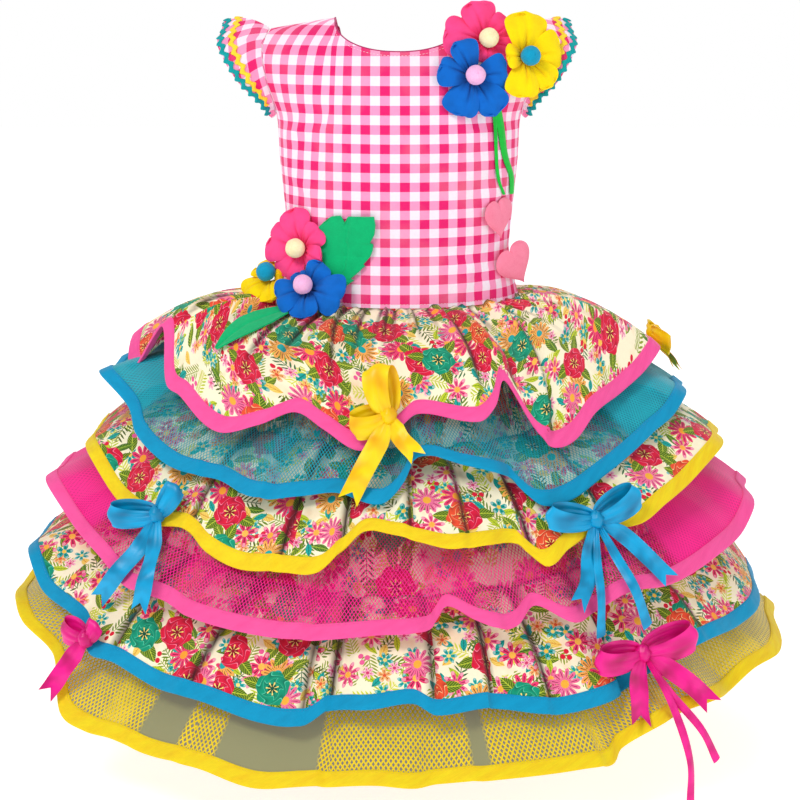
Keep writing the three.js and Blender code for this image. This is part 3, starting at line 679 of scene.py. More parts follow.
def ring_of(distance, near, far):
    return distance.over(near).also(distance.under(far))


def blade(x, y, length, width, slant, pitch):
    """A leaf about the Y axis, and its veins."""
    inside = x.size().under((y / length) ** 2 * -width + width)
    veins = x.size().under(0.32).either(((y - x.size() * slant) / pitch).part().under(0.17))
    return inside, veins


floral_print, given, made = effect("flower_print", (("Cut", "Vector", None),), (("Color", "Color"),))
tree = floral_print
cut = given.outputs["Cut"]
colour = dye(tree, "FFF5D4", "FBD3A4", (noise(tree, cut, 0.05) - 0.52) * 3.0)

# Sprigs: a stem with slanting leaflets.
SPRIGS = (
    ((0.3, 0.1), 25, 3.0, 0.85, "BFCB2A", "8DA01E", 0.2),
    ((0.7, 0.45), 31, 3.4, 1.0, "D9DC48", "6E8A1E", 0.25),
    ((0.1, 0.75), 37, 3.8, 0.9, "4F5F14", "2F6B3A", 0.35),
)
for start, cell, pitch, thickness, tint, other, absent in SPRIGS:
    distance, direction, two, three = scatter(tree, cut, cell, start)
    x = (distance * direction.cosine()).size()
    y = distance * direction.sine() + x * 0.12
    off = (((y - x * 0.9) / pitch).part() - 0.5).size() * pitch
    leaflet = off.under(((x - 3.0) / 3.0) ** 2 * -thickness + thickness)
    sprig = leaflet.either(x.under(0.32)).also(y.size().under(10.5))
    colour = dye(tree, colour, dye(tree, tint, other, three.over(0.5)), sprig.also(two.over(absent)))

# Single leaves with veins.
LEAVES = (
    ((0.15, 0.8), 31, 10.5, 4.0, "54751A", "C9D44A", 0.25),
    ((0.9, 0.35), 41, 9.0, 3.0, "3F6A22", "9DBB3A", 0.3),
    ((0.4, 0.15), 28, 7.6, 2.5, "C9D630", "7F9C1C", 0.2),
    ((0.62, 0.88), 34, 6.8, 3.2, "F7D768", "E09A34", 0.25),
    ((0.22, 0.5), 30, 6.0, 2.6, "18ACA0", "067A74", 0.3),
)
for start, cell, length, width, tint, line, absent in LEAVES:
    distance, direction, two, three = scatter(tree, cut, cell, start)
    inside, veins = blade(distance * direction.cosine(), distance * direction.sine(), length, width, 1.4, 2.6)
    colour = dye(tree, colour, dye(tree, tint, line, veins), inside.also(two.over(absent)))

# Berries in threes.
distance, direction, two, three = scatter(tree, cut, 33, (0.55, 0.2))
third_turn = 2 * math.pi / 3
folded = ((direction / third_turn).part() - 0.5) * third_turn
apart = (distance * distance + 9.6 - distance * folded.cosine() * 6.2) ** 0.5
there = two.over(0.3)
colour = dye(tree, colour, "5B3A14", distance.under(3.0).also(folded.size().under(0.12)).also(there))
colour = dye(tree, colour, dye(tree, "E01838", "F0609A", three.over(0.6)), apart.under(2.1).also(there))

# Small stars with eyes and dark ticks.
STARS = (
    ((0.45, 0.9), 28, 5.4, 6, 0.6, "FFA9C6", "D9316C", "C2185B", 0.35),
    ((0.05, 0.6), 33, 6.2, 5, 0.55, "F6B26A", "E4572E", "B5451F", 0.4),
    ((0.8, 0.15), 29, 6.6, 6, 0.7, "12AFA9", "F6E27A", "056E70", 0.3),
    ((0.25, 0.35), 36, 7.4, 5, 0.6, "0FA39B", "F7C948", "04605C", 0.4),
    ((0.6, 0.7), 42, 10.6, 8, 0.75, "F4588C", "FFB23E", "A8123F", 0.25),
    ((0.35, 0.05), 52, 11.4, 7, 0.65, "E8356B", "FFC04D", "7E0F2E", 0.35),
)
for start, cell, reach, count, sharpness, petal, eye, dark, absent in STARS:
    distance, direction, two, three = scatter(tree, cut, cell, start)
    bloom = distance.under(lobes(direction, count, sharpness) * reach).also(two.over(absent))
    ticks = lobes(direction, count, 8.0).over(0.8).also(ring_of(distance, reach * 0.3, reach * 0.66))
    tips = lobes(direction, count, 2.0).over(0.8).also(distance.over(reach * 0.7))
    inside = dye(tree, petal, "FFFFFF", tips * 0.3)
    inside = dye(tree, inside, dark, ticks)
    inside = dye(tree, inside, eye, distance.under(reach * 0.24))
    colour = dye(tree, colour, inside, bloom)

# Daisies: long petals parted by dark lines, round eyes.
DAISIES = (
    ((0.1, 0.25), 66, 13.6, 13, 0.3, "F9AE52", "14A7A6", "6B2E0C", 0.3),
    ((0.65, 0.5), 63, 13.0, 11, 0.4, "EE3A6E", "FFA32E", "96103A", 0.25),
    ((0.95, 0.9), 90, 12.8, 12, 0.4, "F2709C", "F7B23A", "A51C4C", 0.35),
)
for start, cell, reach, count, sharpness, petal, eye, line, absent in DAISIES:
    distance, direction, two, three = scatter(tree, cut, cell, start)
    bloom = distance.under(lobes(direction, count, sharpness) * reach).also(two.over(absent))
    parting = lobes(direction, count, 1.0).under(0.22).also(distance.over(reach * 0.34))
    streak = lobes(direction, count, 1.0).over(0.975).also(ring_of(distance, reach * 0.4, reach * 0.8))
    inside = dye(tree, petal, line, parting.also(distance.under(reach * 0.84)).either(streak))
    inside = dye(tree, inside, eye, distance.under(reach * 0.26))
    colour = dye(tree, colour, inside, bloom)

# Roses: scalloped petals inside one another, pale outlines, a few stamens, and leaves behind.
ROSES = (
    ((0.5, 0.65), 64, 15.0, "E2183F", "FF7C9C", "8E0A26", 0.1),
    ((0.05, 0.05), 88, 14.4, "079A76", "55CFA8", "04503C", 0.25),
    ((0.75, 0.95), 92, 13.6, "F0522F", "FFC58E", "9C1B1B", 0.3),
)
for start, cell, reach, petal, outline, heart, absent in ROSES:
    distance, direction, two, three = scatter(tree, cut, cell, start, 0.62)
    there = two.over(absent)
    sector = ((direction / third_turn).part() - 0.5) * third_turn
    away = distance * sector.cosine() - reach - 1.0
    inside, veins = blade(distance * sector.sine(), away, 9.5, 4.6, 1.3, 2.5)
    colour = dye(tree, colour, dye(tree, "4A6C16", "C4D23E", veins), inside.also(there))
    wavy = (direction * 5.0).cosine() * 0.8 + (direction * 9.0 + 1.0).cosine() * 0.5
    bloom = distance.under(wavy + (reach - 1.2))
    rings = ((distance + (direction * 2.5 + distance * 0.42).sine().size() * 3.2) / 4.4).part()
    inside = dye(tree, petal, heart, (rings ** 3.0) * 0.75)
    inside = dye(tree, inside, outline, rings.under(0.10))
    inside = dye(tree, inside, heart, distance.under(reach * 0.26))
    stamens = lobes(direction, 7, 6.0).over(0.6).also(ring_of(distance, reach * 0.1, reach * 0.36))
    inside = dye(tree, inside, "FFE27A", stamens)
    colour = dye(tree, colour, inside, bloom.also(there))
set_or_link(tree, made.inputs["Color"], colour)

floral, tree, shader, cut = cloth_finish("floral_cotton", 0.7, 0.15)
printed = use(tree, floral_print, Cut=cut)
# The print darkens along the crease mark: painted shade in the pleats, in the gathers and under the tier
# above.
crease_shaded_print = dye(tree, printed.outputs["Color"], "2A1518", mark(tree, "crease_shade"))
woven(tree, shader, cut, crease_shaded_print, 0.4)

# Underskirt
# A plain flared skirt of the same floral cotton that every tier is sewn to.
# It shows only through the nets, and its lower edge carries the bottom net.

# Each ring: depth and level at the front, half width and level at the sides, and depth at the back.
UNDERSKIRT = (
    (78, -229, 100, -229, 70),
    (112, -276, 148, -264, 106),
    (168, -378, 212, -346, 156),
    (214, -490, 252, -456, 198),
)


def skirt_point(row, at, outwards=0.0):
    rows = np.arange(len(UNDERSKIRT))
    depth, z_front, width, z_side, back = (
        np.interp(row, rows, [entry[k] for entry in UNDERSKIRT]) for k in range(5))
    sine, cosine = np.sin(np.radians(at)), np.cos(np.radians(at))
    x = (width + outwards) * sine
    y = -(np.where(cosine > 0, depth, back) + outwards) * cosine
    return np.stack([x, y, z_front * cosine**2 + z_side * sine**2], -1)


def arc_lengths(grid):
    """Lengths along each row from its start, with the closing step at the end."""
    return lengths_along(np.concatenate([grid, grid[:, :1]], 1), 1)


ROUND = np.concatenate([np.arange(-90, 90, 0.6), np.arange(90, 270, 1.2)])
at, row = np.meshgrid(ROUND, np.linspace(0, 3, 40))
grid = skirt_point(row, at)
cut = flat_strip(np.mean(arc_lengths(grid)[20:], 0), row[:, 0] * 95)
underskirt = sew(
    "underskirt_cloth", grid, cut, floral, ["underskirt"], ring=True,
    marks={"crease_shade": np.zeros(grid.shape[:2])})

# Tiers
# Six gathered tiers, floral cotton and coloured net in turn, each sewn to the underskirt along its top.
# Every hem is bound with folded bias tape that is stitched through, and swings in its own waves.

BACK_WAVES = 12
BACK_WAVE = 6
BACK_START = 98
BACK_REST = 8
SIDE_DRAW = 8
TIER_GAP = 0.55
BINDING_WIDTH = 11.5
BINDING_LAP = 3
CLOTH_ROWS = 30
BINDING_ROWS = 14
BACK_FOLDS = tuple((at, at, 0, 1, 2.2, 2.6) for at in np.arange(96, 268, 8.6))
PANEL_SPREAD = 1.2
PANEL_BEHIND_PLEAT = 0.9
PANEL_LEAST = 3
STRAIGHT_PLEAT = 5
SIDE_PANELS = (-88, -62, 88)
BACK_PANELS = tuple(104.6 + 17.2 * k for k in range(10))
PRINT_SHIFT = 37.0
PRINT_DROP = 90
# Each wave: its angle, how far it swings out and how far it hangs down.
# Each fold: its angles at the seam and at the hem, where it starts and ends as shares of the drop, its
# height, and its width in degrees.
TIERS = (
    {
        "name": "ruffle_1_floral", "edge": "pink", "seam": 0, "belly": 15, "lift": 4,
        "hem": {
            "left": 226, "right": 222, "front": 180, "back": 172, "z_left": -268, "z_right": -276,
            "z_front": -302},
        "waves": (
            (-86, -2, -8), (-72, 4, 9), (-64.5, -12, -33), (-56, 0, 4), (-50, 2, 8), (-37, 10, 22),
            (-28, 5, 9), (-22, -8, -3), (-15, 0, 5), (-7, 10, 17), (-1, 3, 4), (4, -7, -9),
            (16, 4, -2), (20, -2, -11), (24, -16, -26), (28, 4, 14), (31, 12, 26), (37, 8, 26),
            (45, 0, 12), (57, -6, 7), (66, -2, -2), (74, 2, -13), (86, -8, -6),
        ),
        "folds": (
            (-26, -12, 0, 0.75, 4.0, 2.6), (-6, -4, 0, 0.4, 2.5, 2.2), (18, 17, 0, 0.9, 4.5, 3.0),
            (47, 29, 0, 1, 5.0, 3.2), (62, 52, 0, 0.55, 3.5, 3.0), (-34, -30, 0, 0.6, 3.2, 2.6),
            (-48, -36, 0.1, 0.7, 3.0, 3.0), (-16, -9, 0, 0.5, 2.6, 2.0), (5, 6, 0, 0.45, 2.4, 2.0),
            (31, 24, 0, 0.9, 3.6, 2.6), (76, 70, 0, 0.6, 3.0, 3.0), (-70, -62, 0, 0.9, 3.4, 3.4),
        ),
    },
    {
        "name": "ruffle_2_net", "edge": "blue", "seam": 1, "belly": 6, "lift": 15,
        "hem": {
            "left": 250, "right": 246, "front": 200, "back": 192, "z_left": -303, "z_right": -318,
            "z_front": -350},
        "waves": (
            (-84, -6, -14), (-71, 8, -25), (-65, -6, -6), (-58, 0, 7), (-48, 2, 16), (-42, 2, 16),
            (-35, -4, 14), (-25, 10, 14), (-17, 2, 7), (-11, -2, 2), (-3, 8, 6), (1, -4, -8),
            (4, -12, -27), (12, -2, -20), (18, 0, -11), (22, -10, 0), (25, 10, 16), (31, 8, 20),
            (41, 2, 10), (57, -2, -5), (64, 2, -12), (70, 4, -22), (85, -9, -16),
        ),
        "folds": (
            (-24, -24, 0, 1, 3.0, 2.4), (23, 23, 0, 1, 4.0, 2.4), (3, 3, 0, 1, 3.0, 2.4),
            (-40, -40, 0, 1, 2.0, 2.4)),
        "double": ((-90, -60), (-27, -22), (0, 6), (16, 24.5), (50, 90)),
    },
    {
        "name": "ruffle_3_floral", "edge": "yellow", "seam": 1.5, "belly": 8, "lift": 18,
        "hem": {
            "left": 268, "right": 278, "front": 222, "back": 212, "z_left": -362, "z_right": -362,
            "z_front": -386},
        "waves": (
            (-84, -8, -18), (-67, 6, -20), (-60, 0, 3), (-53, 2, 9), (-47, 0, 14), (-40, -6, 11),
            (-34, 0, 22), (-27, 4, 28), (-19, 6, 24), (-13, 8, 21), (-10, -4, 8), (-6, -10, -9),
            (-1, -6, -8), (3, 2, -5), (8, 6, 1), (14, 2, 1), (20, -8, 7), (23, 10, 21),
            (28, 2, 13), (35, -6, 7), (42, 4, 7), (49, 2, -1), (57, 0, -8), (63, 2, -17),
            (70, 4, -24), (85, -8, -18),
        ),
        "folds": (
            (-40, -40, 0, 1, 3.0, 2.2), (-19, -21, 0, 1, 3.0, 2.2), (-10, -10.5, 0, 1, 3.5, 2.0),
            (1, 1, 0, 1, 2.4, 2.0), (20, 21, 0, 1, 4.0, 2.2), (36, 36, 0, 1, 2.6, 2.4),
            (10, 10, 0, 1, 2.4, 2.0),
        ),
    },
    {
        "name": "ruffle_4_net", "edge": "pink", "seam": 2, "belly": 6, "lift": 25,
        "hem": {
            "left": 300, "right": 304, "front": 245, "back": 232, "z_left": -402, "z_right": -414,
            "z_front": -440},
        "waves": (
            (-84, -8, -28), (-68, 8, -37), (-63, 0, -17), (-52, 2, -4), (-46, 2, 10), (-41, 8, 7),
            (-38, -4, 13), (-33, 2, 16), (-24, 4, 17), (-14, 6, 15), (-3, 2, 8), (2, 4, 6),
            (5, -8, 5), (7, -12, -10), (11, 0, -1), (14, 8, 5), (17, 4, 5), (21, -10, -4),
            (25, 8, 8), (30, -6, 10), (35, 4, -4), (43, 2, 1), (49, 0, 1), (58, 2, -6),
            (67, 2, -11), (72, 4, -24), (85, -9, -24),
        ),
        "folds": (
            (-37, -37, 0, 1, 3.0, 2.2), (-14, -14, 0, 1, 3.0, 2.2), (5, 5, 0, 1, 3.5, 2.0),
            (14, 14, 0, 1, 3.0, 2.0), (30, 30, 0, 1, 3.0, 2.0)),
        "double": ((-90, -56), (-37, -29), (-16, -8.4), (4, 12), (28.5, 33), (47, 90)),
    },
    {
        "name": "ruffle_5_floral", "edge": "blue", "seam": 2.5, "belly": 8, "lift": 30,
        "hem": {
            "left": 317, "right": 311, "front": 264, "back": 248, "z_left": -466, "z_right": -500,
            "z_front": -502},
        "waves": (
            (-84, -8, -32), (-70, 6, -40), (-65, 4, -21), (-54, -2, -12), (-49, 6, 4), (-44, 4, 3),
            (-36, 2, 11), (-28, 4, 10), (-19, 6, 16), (-13, 6, 14), (-10, -4, 4), (-4, 4, -2),
            (2, -2, -5), (5, 4, 2), (13, -2, 1), (22, 6, 8), (30, 6, 5), (34, -5, 4),
            (39, 0, -10), (45, 2, -19), (52, 4, -24), (61, 2, -22), (68, 6, -27), (84, -6, -30),
        ),
        "folds": (
            (-28, -32, 0, 1, 4.5, 2.2), (-10, -10.5, 0, 1, 4.5, 2.0), (12.5, 12.5, 0, 1, 4.0, 2.0),
            (20, 21, 0, 1, 3.5, 2.0), (33, 33, 0, 1, 5.0, 2.0), (-14, -14, 0, 1, 2.4, 1.6),
            (4, 4, 0, 1, 2.4, 1.6), (-46, -46, 0, 1, 3.0, 2.2), (50, 50, 0, 1, 2.6, 2.2),
        ),
    },
    {
        "name": "ruffle_6_net", "edge": "yellow", "seam": 3, "belly": 3, "lift": 42,
        "hem": {
            "left": 330, "right": 333, "front": 285, "back": 264, "z_left": -515, "z_right": -545,
            "z_front": -552},
        "waves": (
            (-84, -8, -44), (-71, 4, -52), (-65, 6, -44), (-61, -6, -30), (-57, -2, -24),
            (-52, 10, 4), (-47, 8, 9), (-42, 4, 7), (-36, 2, 9), (-27, 6, 5), (-19, 8, 10),
            (-13, 0, 7), (-9, -2, 5), (-3, 6, -1), (2, 4, 2), (5, -4, 2), (13, 4, -2),
            (24, 6, -3), (29, 4, -2), (32, -8, -8), (37, 4, -25), (42, -4, -26), (47, 6, -32),
            (54, -6, -27), (60, -2, -37), (68, 4, -39), (84, -10, -42),
        ),
        "folds": (
            (-39, -39, 0, 1, 2.5, 1.8), (-31, -31, 0, 1, 2.5, 1.8), (-11, -11, 0, 1, 3.0, 1.8),
            (9.7, 9.7, 0, 1, 2.0, 1.6), (27, 27, 0, 1, 2.5, 1.8)),
        "double": ((-90, -84), (-46, -41), (27, 29), (38, 41), (54, 66)),
        # Bands where a grey-olive sheet over the yellow net paints the shade of the skirt's dark inside.
        "painted_shade_patch": ((-38.9, -31.4), (-25.5, -11), (9.7, 12.4)),
    },
)


def round_curve(rows, place, column):
    """Smooth closed curve through a table whose first column is an angle."""
    x = np.array([row[0] for row in rows], float)
    y = np.array([row[column] for row in rows], float)
    x = np.concatenate([x - 360, x, x + 360])
    y = np.tile(y, 3)
    slope = np.gradient(y)
    slope[1:-1] = (y[2:] - y[:-2]) / (x[2:] - x[:-2])
    i = np.clip(np.searchsorted(x, place, "right") - 1, 1, len(x) - 3)
    wide = x[i + 1] - x[i]
    t = (place - x[i]) / wide
    return ((2 * t**3 - 3 * t**2 + 1) * y[i] + (t**3 - 2 * t**2 + t) * wide * slope[i]
            + (3 * t**2 - 2 * t**3) * y[i + 1] + (t**3 - t**2) * wide * slope[i + 1])


def hem_waves(tier):
    rows = list(tier["waves"])
    for k in range(BACK_WAVES):
        at = BACK_START + (360 + rows[0][0] - BACK_REST - BACK_START) * k / (BACK_WAVES - 1)
        sign = -1 if k % 2 else 1
        sideways = math.sin(math.radians(at)) ** 2
        rows.append((at, sign * BACK_WAVE - SIDE_DRAW * sideways, sign * BACK_WAVE - tier["lift"] * sideways))
    return rows


def hem_point(tier, at):
    rows = hem_waves(tier)
    hem = tier["hem"]
    sine, cosine = np.sin(np.radians(at)), np.cos(np.radians(at))
    x = np.where(sine > 0, hem["right"], hem["left"]) * sine
    y = -np.where(cosine > 0, hem["front"], hem["back"]) * cosine
    spread = 1 + round_curve(rows, at, 1) / np.hypot(x, y)
    level = hem["z_front"] * cosine**2 + np.where(sine > 0, hem["z_right"], hem["z_left"]) * sine**2
    return np.stack([x * spread, y * spread, level - round_curve(rows, at, 2)], -1)


def tier_surface(tier, at, down):
    seam = skirt_point(tier["seam"], at, 0 if tier["seam"] == 0 else CAD_COTTON + TIER_GAP)
    if tier["seam"] == 0:
        seam[..., 2] += CAD_COTTON + LIE_GAP
    fall = hem_point(tier, at) - seam
    run = np.hypot(fall[..., 0], fall[..., 1])
    length = np.linalg.norm(fall, axis=-1)
    belly = tier["belly"] * 4 * down * (1 - down) / length
    rise = np.stack([-fall[..., 2] * fall[..., 0] / run, -fall[..., 2] * fall[..., 1] / run, run], -1)
    return seam + fall * down[..., None] + rise * belly[..., None]


def fold_relief(tier, at, down):
    """Pleats: the cloth climbs towards each line and drops sharply behind it. Also a mask of painted shade:
    dark lines behind the pleats, in the troughs of the gathers and along the seam under the tier above.
    """
    relief = np.zeros(at.shape)
    crease_shade = np.zeros(at.shape)
    for top, low, start, end, height, width in tier["folds"] + BACK_FOLDS:
        centre = top + (low - top) * np.clip(down, 0, 1)
        off = at - centre
        begun = np.clip((down - start) / 0.06 + 1, 0, 1)
        within = begun * np.clip((end - down) / 0.25 + (1 if end >= 1 else 0), 0, 1)
        climb = np.where(off < 0, np.exp(off / width), np.exp(-((off / 0.55) ** 2)))
        relief += height * within * (climb - 0.35 * np.exp(-(((off - 1.6) / 1.4) ** 2)))
        # Painted shade: a dark line just behind each pleat, wider near the seam, where the pleat's overlap
        # casts shade.
        dark_width = 0.44 + 0.5 * np.clip(1 - down, 0, 1)
        dark = within * np.exp(-(((off - 0.8) / dark_width) ** 2)) * min(height / 2.8, 1)
        crease_shade = np.maximum(crease_shade, dark)
    turn = np.radians(at)
    gathers = np.sin(turn * 44 + 2.0 * np.sin(turn * 7)) + 0.6 * np.sin(turn * 71 + 1.0)
    relief += gathers * np.exp(-down / 0.24)
    # Painted shade in the troughs of the gathers near the seam.
    crease_shade = np.maximum(crease_shade, np.clip(-1.6 * gathers - 0.9, 0, 1) * np.exp(-down / 0.22))
    # Painted shade along the seam, under the hem of the tier above.
    crease_shade = np.maximum(crease_shade, 0.85 * np.exp(-((down / 0.016) ** 2)))
    return relief, crease_shade


def tier_grid(tier, downs, angles=ROUND):
    """Points of a tier lifted by its folds, their way out of the cloth, its painted crease shade and their
    angles.
    """
    at, down = np.meshgrid(angles, downs)
    grid = tier_surface(tier, at, down)
    out = normals_of(grid, True)
    away = np.stack([np.sin(np.radians(at)), -np.cos(np.radians(at)), np.full(at.shape, 0.2)], -1)
    out = out * np.sign(np.sum(out * away, -1, keepdims=True))
    relief, crease_shade = fold_relief(tier, at, down)
    return grid + out * relief[..., None], out, crease_shade, at


def banded(at, bands, soft=0.5):
    """One inside any of the bands of angles and nothing outside, with soft edges."""
    found = np.zeros(at.shape)
    turned = np.where(at > 180, at - 360, at)
    for low, high in bands:
        begun = np.clip((turned - low) / soft, 0, 1)
        found = np.maximum(found, begun * np.clip((high - turned) / soft, 0, 1))
    return found


# Net: fine threads knotted into small diamonds, with clear holes between.
net_threads, given, made = effect(
    "net_threads", (("Cut", "Vector", None), ("Pitch", "Float", 2.3), ("Thread", "Float", 0.3)),
    (("Mask", "Float"),))
u, v = across_and_along(net_threads, given.outputs["Cut"])
pitch = Figure(net_threads, given.outputs["Pitch"])
thread = Figure(net_threads, given.outputs["Thread"])
slant_one = (((u + v * 0.62) / pitch).part() - 0.5).size()
slant_two = (((u - v * 0.62) / pitch).part() - 0.5).size()
lattice = slant_one.under(thread * 0.5).either(slant_two.under(thread * 0.5))
knot = (slant_one + slant_two).under(thread * 0.85)
net_threads.links.new(lattice.either(knot).socket, made.inputs["Mask"])


SECOND_NET_PLACE = (1.1, 0.4, 0)
SECOND_NET_PITCH = 1.06
# How much of the net a painted shade patch covers.
SHADE_PATCH_COVER = 0.9


def net(name, colour, dark, pitch, thread, haze, double_haze, painted_shade_patch=None):
    """Net whose holes are partly filled with its dark colour, a painted shade of the skirt's inside seen
    through them; where it lies double the holes are nearly filled, and a second net shows behind the first.
    """
    material, tree, shader, cut = cloth_finish(name, 0.6, 0.2)
    second = add_node(tree, "ShaderNodeVectorMath", {0: cut, 1: SECOND_NET_PLACE}, operation="ADD")
    threads, under = (
        Figure(tree, use(tree, net_threads, Cut=place, Pitch=size, Thread=thread).outputs["Mask"])
        for place, size in ((cut, pitch), (second.outputs[0], pitch * SECOND_NET_PITCH)))
    double = mark(tree, "double")
    cover = threads.either(under.also(double))
    # haze and double_haze say how much of each hole the painted shade fills, where the net lies single and
    # where it lies double.
    hole_cover_and_shade = double * (double_haze - haze) + haze
    alpha = cover.either(hole_cover_and_shade)
    # Holes take the dark colour as painted shade of the inside behind the net, a little lighter where it lies
    # double.
    tone = dye(tree, colour, dark, cover.flipped().also(double * -0.3 + 1.0))
    tone = dye(tree, tone, dark, (noise(tree, cut, 0.06) - 0.45) * 0.5)
    # Painted shade patches: a nearly opaque grey-olive sheet in place of the dark inside seen through the
    # net.
    if painted_shade_patch:
        plain = mark(tree, "painted_shade_patch")
        alpha = alpha * plain.flipped() + plain * SHADE_PATCH_COVER
        tone = dye(tree, tone, painted_shade_patch, plain)
    tree.links.new(alpha.socket, shader.inputs["Alpha"])
    tree.links.new(tone, shader.inputs["Base Color"])
    return material


# Each net's dark colour fills its holes as painted shade; the yellow net's holes are mostly filled with dark
# olive.
FINISHES = {
    "ruffle_2_net": net("net_turquoise", "12B0C0", "045474", 2.7, 0.22, 0.04, 0.95),
    "ruffle_4_net": net("net_pink", "FF2492", "D00C70", 2.9, 0.23, 0.10, 0.97),
    "ruffle_6_net": net("net_yellow", "F6D414", "463E0E", 3.8, 0.36, 0.8, 0.9, painted_shade_patch="84834F"),
}
SLOTS = {"ruffle_2_net": "net_turquoise", "ruffle_4_net": "net_pink", "ruffle_6_net": "net_yellow"}
TAPES = {
    "pink": cotton("binding_pink", "FA5AA2", "EE3A88", 0.6, 0.65),
    "blue": cotton("binding_blue", "0098C6", "007CA8", 0.6, 0.65),
    "yellow": cotton("binding_yellow", "F4D81A", "EAA010", 0.6, 0.65),
}
TAPE_PROFILE = (
    (0.0, 0.7), (0.02, 1.0), (0.12, 1.1), (0.3, 1.05), (0.6, 1.05), (0.85, 1.05), (0.96, 0.8),
    (1.0, 0.0), (0.96, -0.8), (0.6, -1.0), (0.12, -1.0), (0.0, -0.7),
)
FLAT_CUTS = {
    "ruffle_1_floral": (1.34, 0.135, 0.135),
    "ruffle_2_net": (1.46, 0.10, 0.115),
    "ruffle_3_floral": (1.60, 0.10, 0.13),
    "ruffle_4_net": (1.80, 0.10, 0.15),
    "ruffle_5_floral": (1.88, 0.11, 0.165),
    "ruffle_6_net": (2.00, 0.10, 0.165),
}
DOUBLED_BEHIND = (
    *((a, a + 5) for a in range(130, 180, 16)),
    *((a, a + 6) for a in range(-176, -130, 15)),
)
stitch_lines = []
for tier in TIERS:
    name = tier["name"]
    printed = name not in FINISHES
    top_line, hem_line = tier_surface(tier, *np.meshgrid(ROUND, [0.0, 1.0]))
    drop = float(np.mean(np.linalg.norm(hem_line - top_line, axis=-1)))
    cloth_end = 1 - (BINDING_WIDTH - BINDING_LAP) / drop
    grid, out, crease_shade, at = tier_grid(tier, np.linspace(0, cloth_end, CLOTH_ROWS))
    run = arc_lengths(grid)
    # The cloth is cut into panels at the straight pleats, at the sides and at every other fold behind.
    seams = [
        top + PANEL_BEHIND_PLEAT for top, low, start, end, *_ in tier["folds"]
        if end == 1 and abs(top - low) < STRAIGHT_PLEAT]
    seams = sorted([*seams, *SIDE_PANELS, *BACK_PANELS])
    seams = [a for k, a in enumerate(seams) if k == 0 or a - seams[k - 1] > PANEL_LEAST]
    seams = [-90.0, *seams, 270.5]
    level_run = np.zeros_like(run)
    breaks = []
    for k in range(len(seams) - 1):
        chosen = np.nonzero((ROUND >= seams[k]) & (ROUND < seams[k + 1]))[0]
        if len(chosen) == 0:
            continue
        middle = chosen[len(chosen) // 2]
        columns = np.append(chosen, chosen[-1] + 1) if chosen[-1] == len(ROUND) - 1 else chosen
        level_run[:, columns] = run[:, columns] - run[:, [middle]] + run[-1, middle] * PANEL_SPREAD
        breaks.append(chosen[-1])
    fall = lengths_along(grid, 0)
    fall = np.concatenate([fall, fall[:, :1]], 1)
    cut = np.stack([level_run + PRINT_SHIFT * tier["seam"], -fall - PRINT_DROP * tier["seam"]], -1)
    marks = {"crease_shade": crease_shade}
    if not printed:
        double = tier["double"]
        if name == "ruffle_6_net":
            sides = 0.7 * banded(at, double)
        else:
            sides = banded(at, ((-128, double[0][1]), (double[-1][0], 128)), 2.0)
        marks["double"] = np.maximum(0.4 * banded(at, (*double[1:-1], *DOUBLED_BEHIND), 0.2), sides)
        marks["painted_shade_patch"] = banded(at, tier.get("painted_shade_patch", ()), 0.25)
    finish, slot = (floral, "floral") if printed else (FINISHES[name], SLOTS[name])
    cloth = sew(
        name + "_cloth", grid, cut, finish, [name], thickness=0.9 if printed else 0, ring=True,
        marks=marks, breaks=breaks)

    flat, tape_out, *_ = tier_grid(tier, np.linspace(cloth_end - BINDING_LAP / drop, 1, BINDING_ROWS))
    pucker = 1 + 0.10 * np.sin(np.radians(ROUND) * 150) + 0.06 * np.sin(np.radians(ROUND) * 233 + 1)
    rows = []
    for t, height in TAPE_PROFILE:
        place = t * (BINDING_ROWS - 1)
        low = min(int(place), BINDING_ROWS - 2)
        here = flat[low] + (flat[low + 1] - flat[low]) * (place - low)
        rows.append(here + tape_out[low] * (height * pucker)[:, None])
    tape_grid = np.array(rows)
    tape_run = arc_lengths(tape_grid)
    tape_across = [[t * 12 + (20 if height < 0 else 0)] for t, height in TAPE_PROFILE]
    tape_cut = np.stack([tape_run, np.repeat(tape_across, tape_run.shape[1], 1)], -1)
    tape = sew(
        name + "_tape", tape_grid, tape_cut, TAPES[tier["edge"]],
        [name + "_binding"], thickness=0, ring=True, tube=True)
    stitch_lines.append((name + "_stitches", flat[2] + tape_out[2] * (1.12 * pucker)[:, None], tier["edge"]))
    wide, tall, area = FLAT_CUTS[name]
    min(area, wide * tall)

# Fabric flowers
# Each is five petals of plain cotton, folded over and drawn up on a thread, with a felted ball on top.
# Three sit on the left shoulder and three at the right of the waist.

# Each flower: its colours, its centre, the way it faces round the body and up, and its petals with
# their directions and lengths.
FLOWERS = (
    ("shoulder_flower_pink", "pink", "cream", (70, -43, -14), 15, 20,
     ((-93, 19), (-20, 24), (30, 27), (108, 34), (166, 38))),
    ("shoulder_flower_blue", "blue", "pink", (59.3, -61.6, -41.2), 12, 12,
     ((-108, 36), (-62, 36), (5, 30), (118, 31), (160, 31))),
    ("shoulder_flower_yellow", "yellow", "teal", (102, -47.3, -26.8), 24, 12,
     ((-97, 35), (-50, 32), (8, 34), (88, 37), (176, 19))),
    ("waist_flower_pink", "pink", "cream", (-79.2, -50.2, -181), -34, 8,
     ((-115, 30), (-22, 23), (46, 26), (105, 34), (167, 35))),
    ("waist_flower_blue", "blue", "pink", (-74.2, -69.6, -210.6), -24, 27,
     ((-154, 29), (-80, 27), (-15, 36), (67, 24), (125, 16))),
    ("waist_flower_yellow", "yellow", "teal", (-104.9, -38.4, -206.4), -35, 36,
     ((-134, 29), (-62, 25), (15, 12), (85, 12), (160, 19))),
)
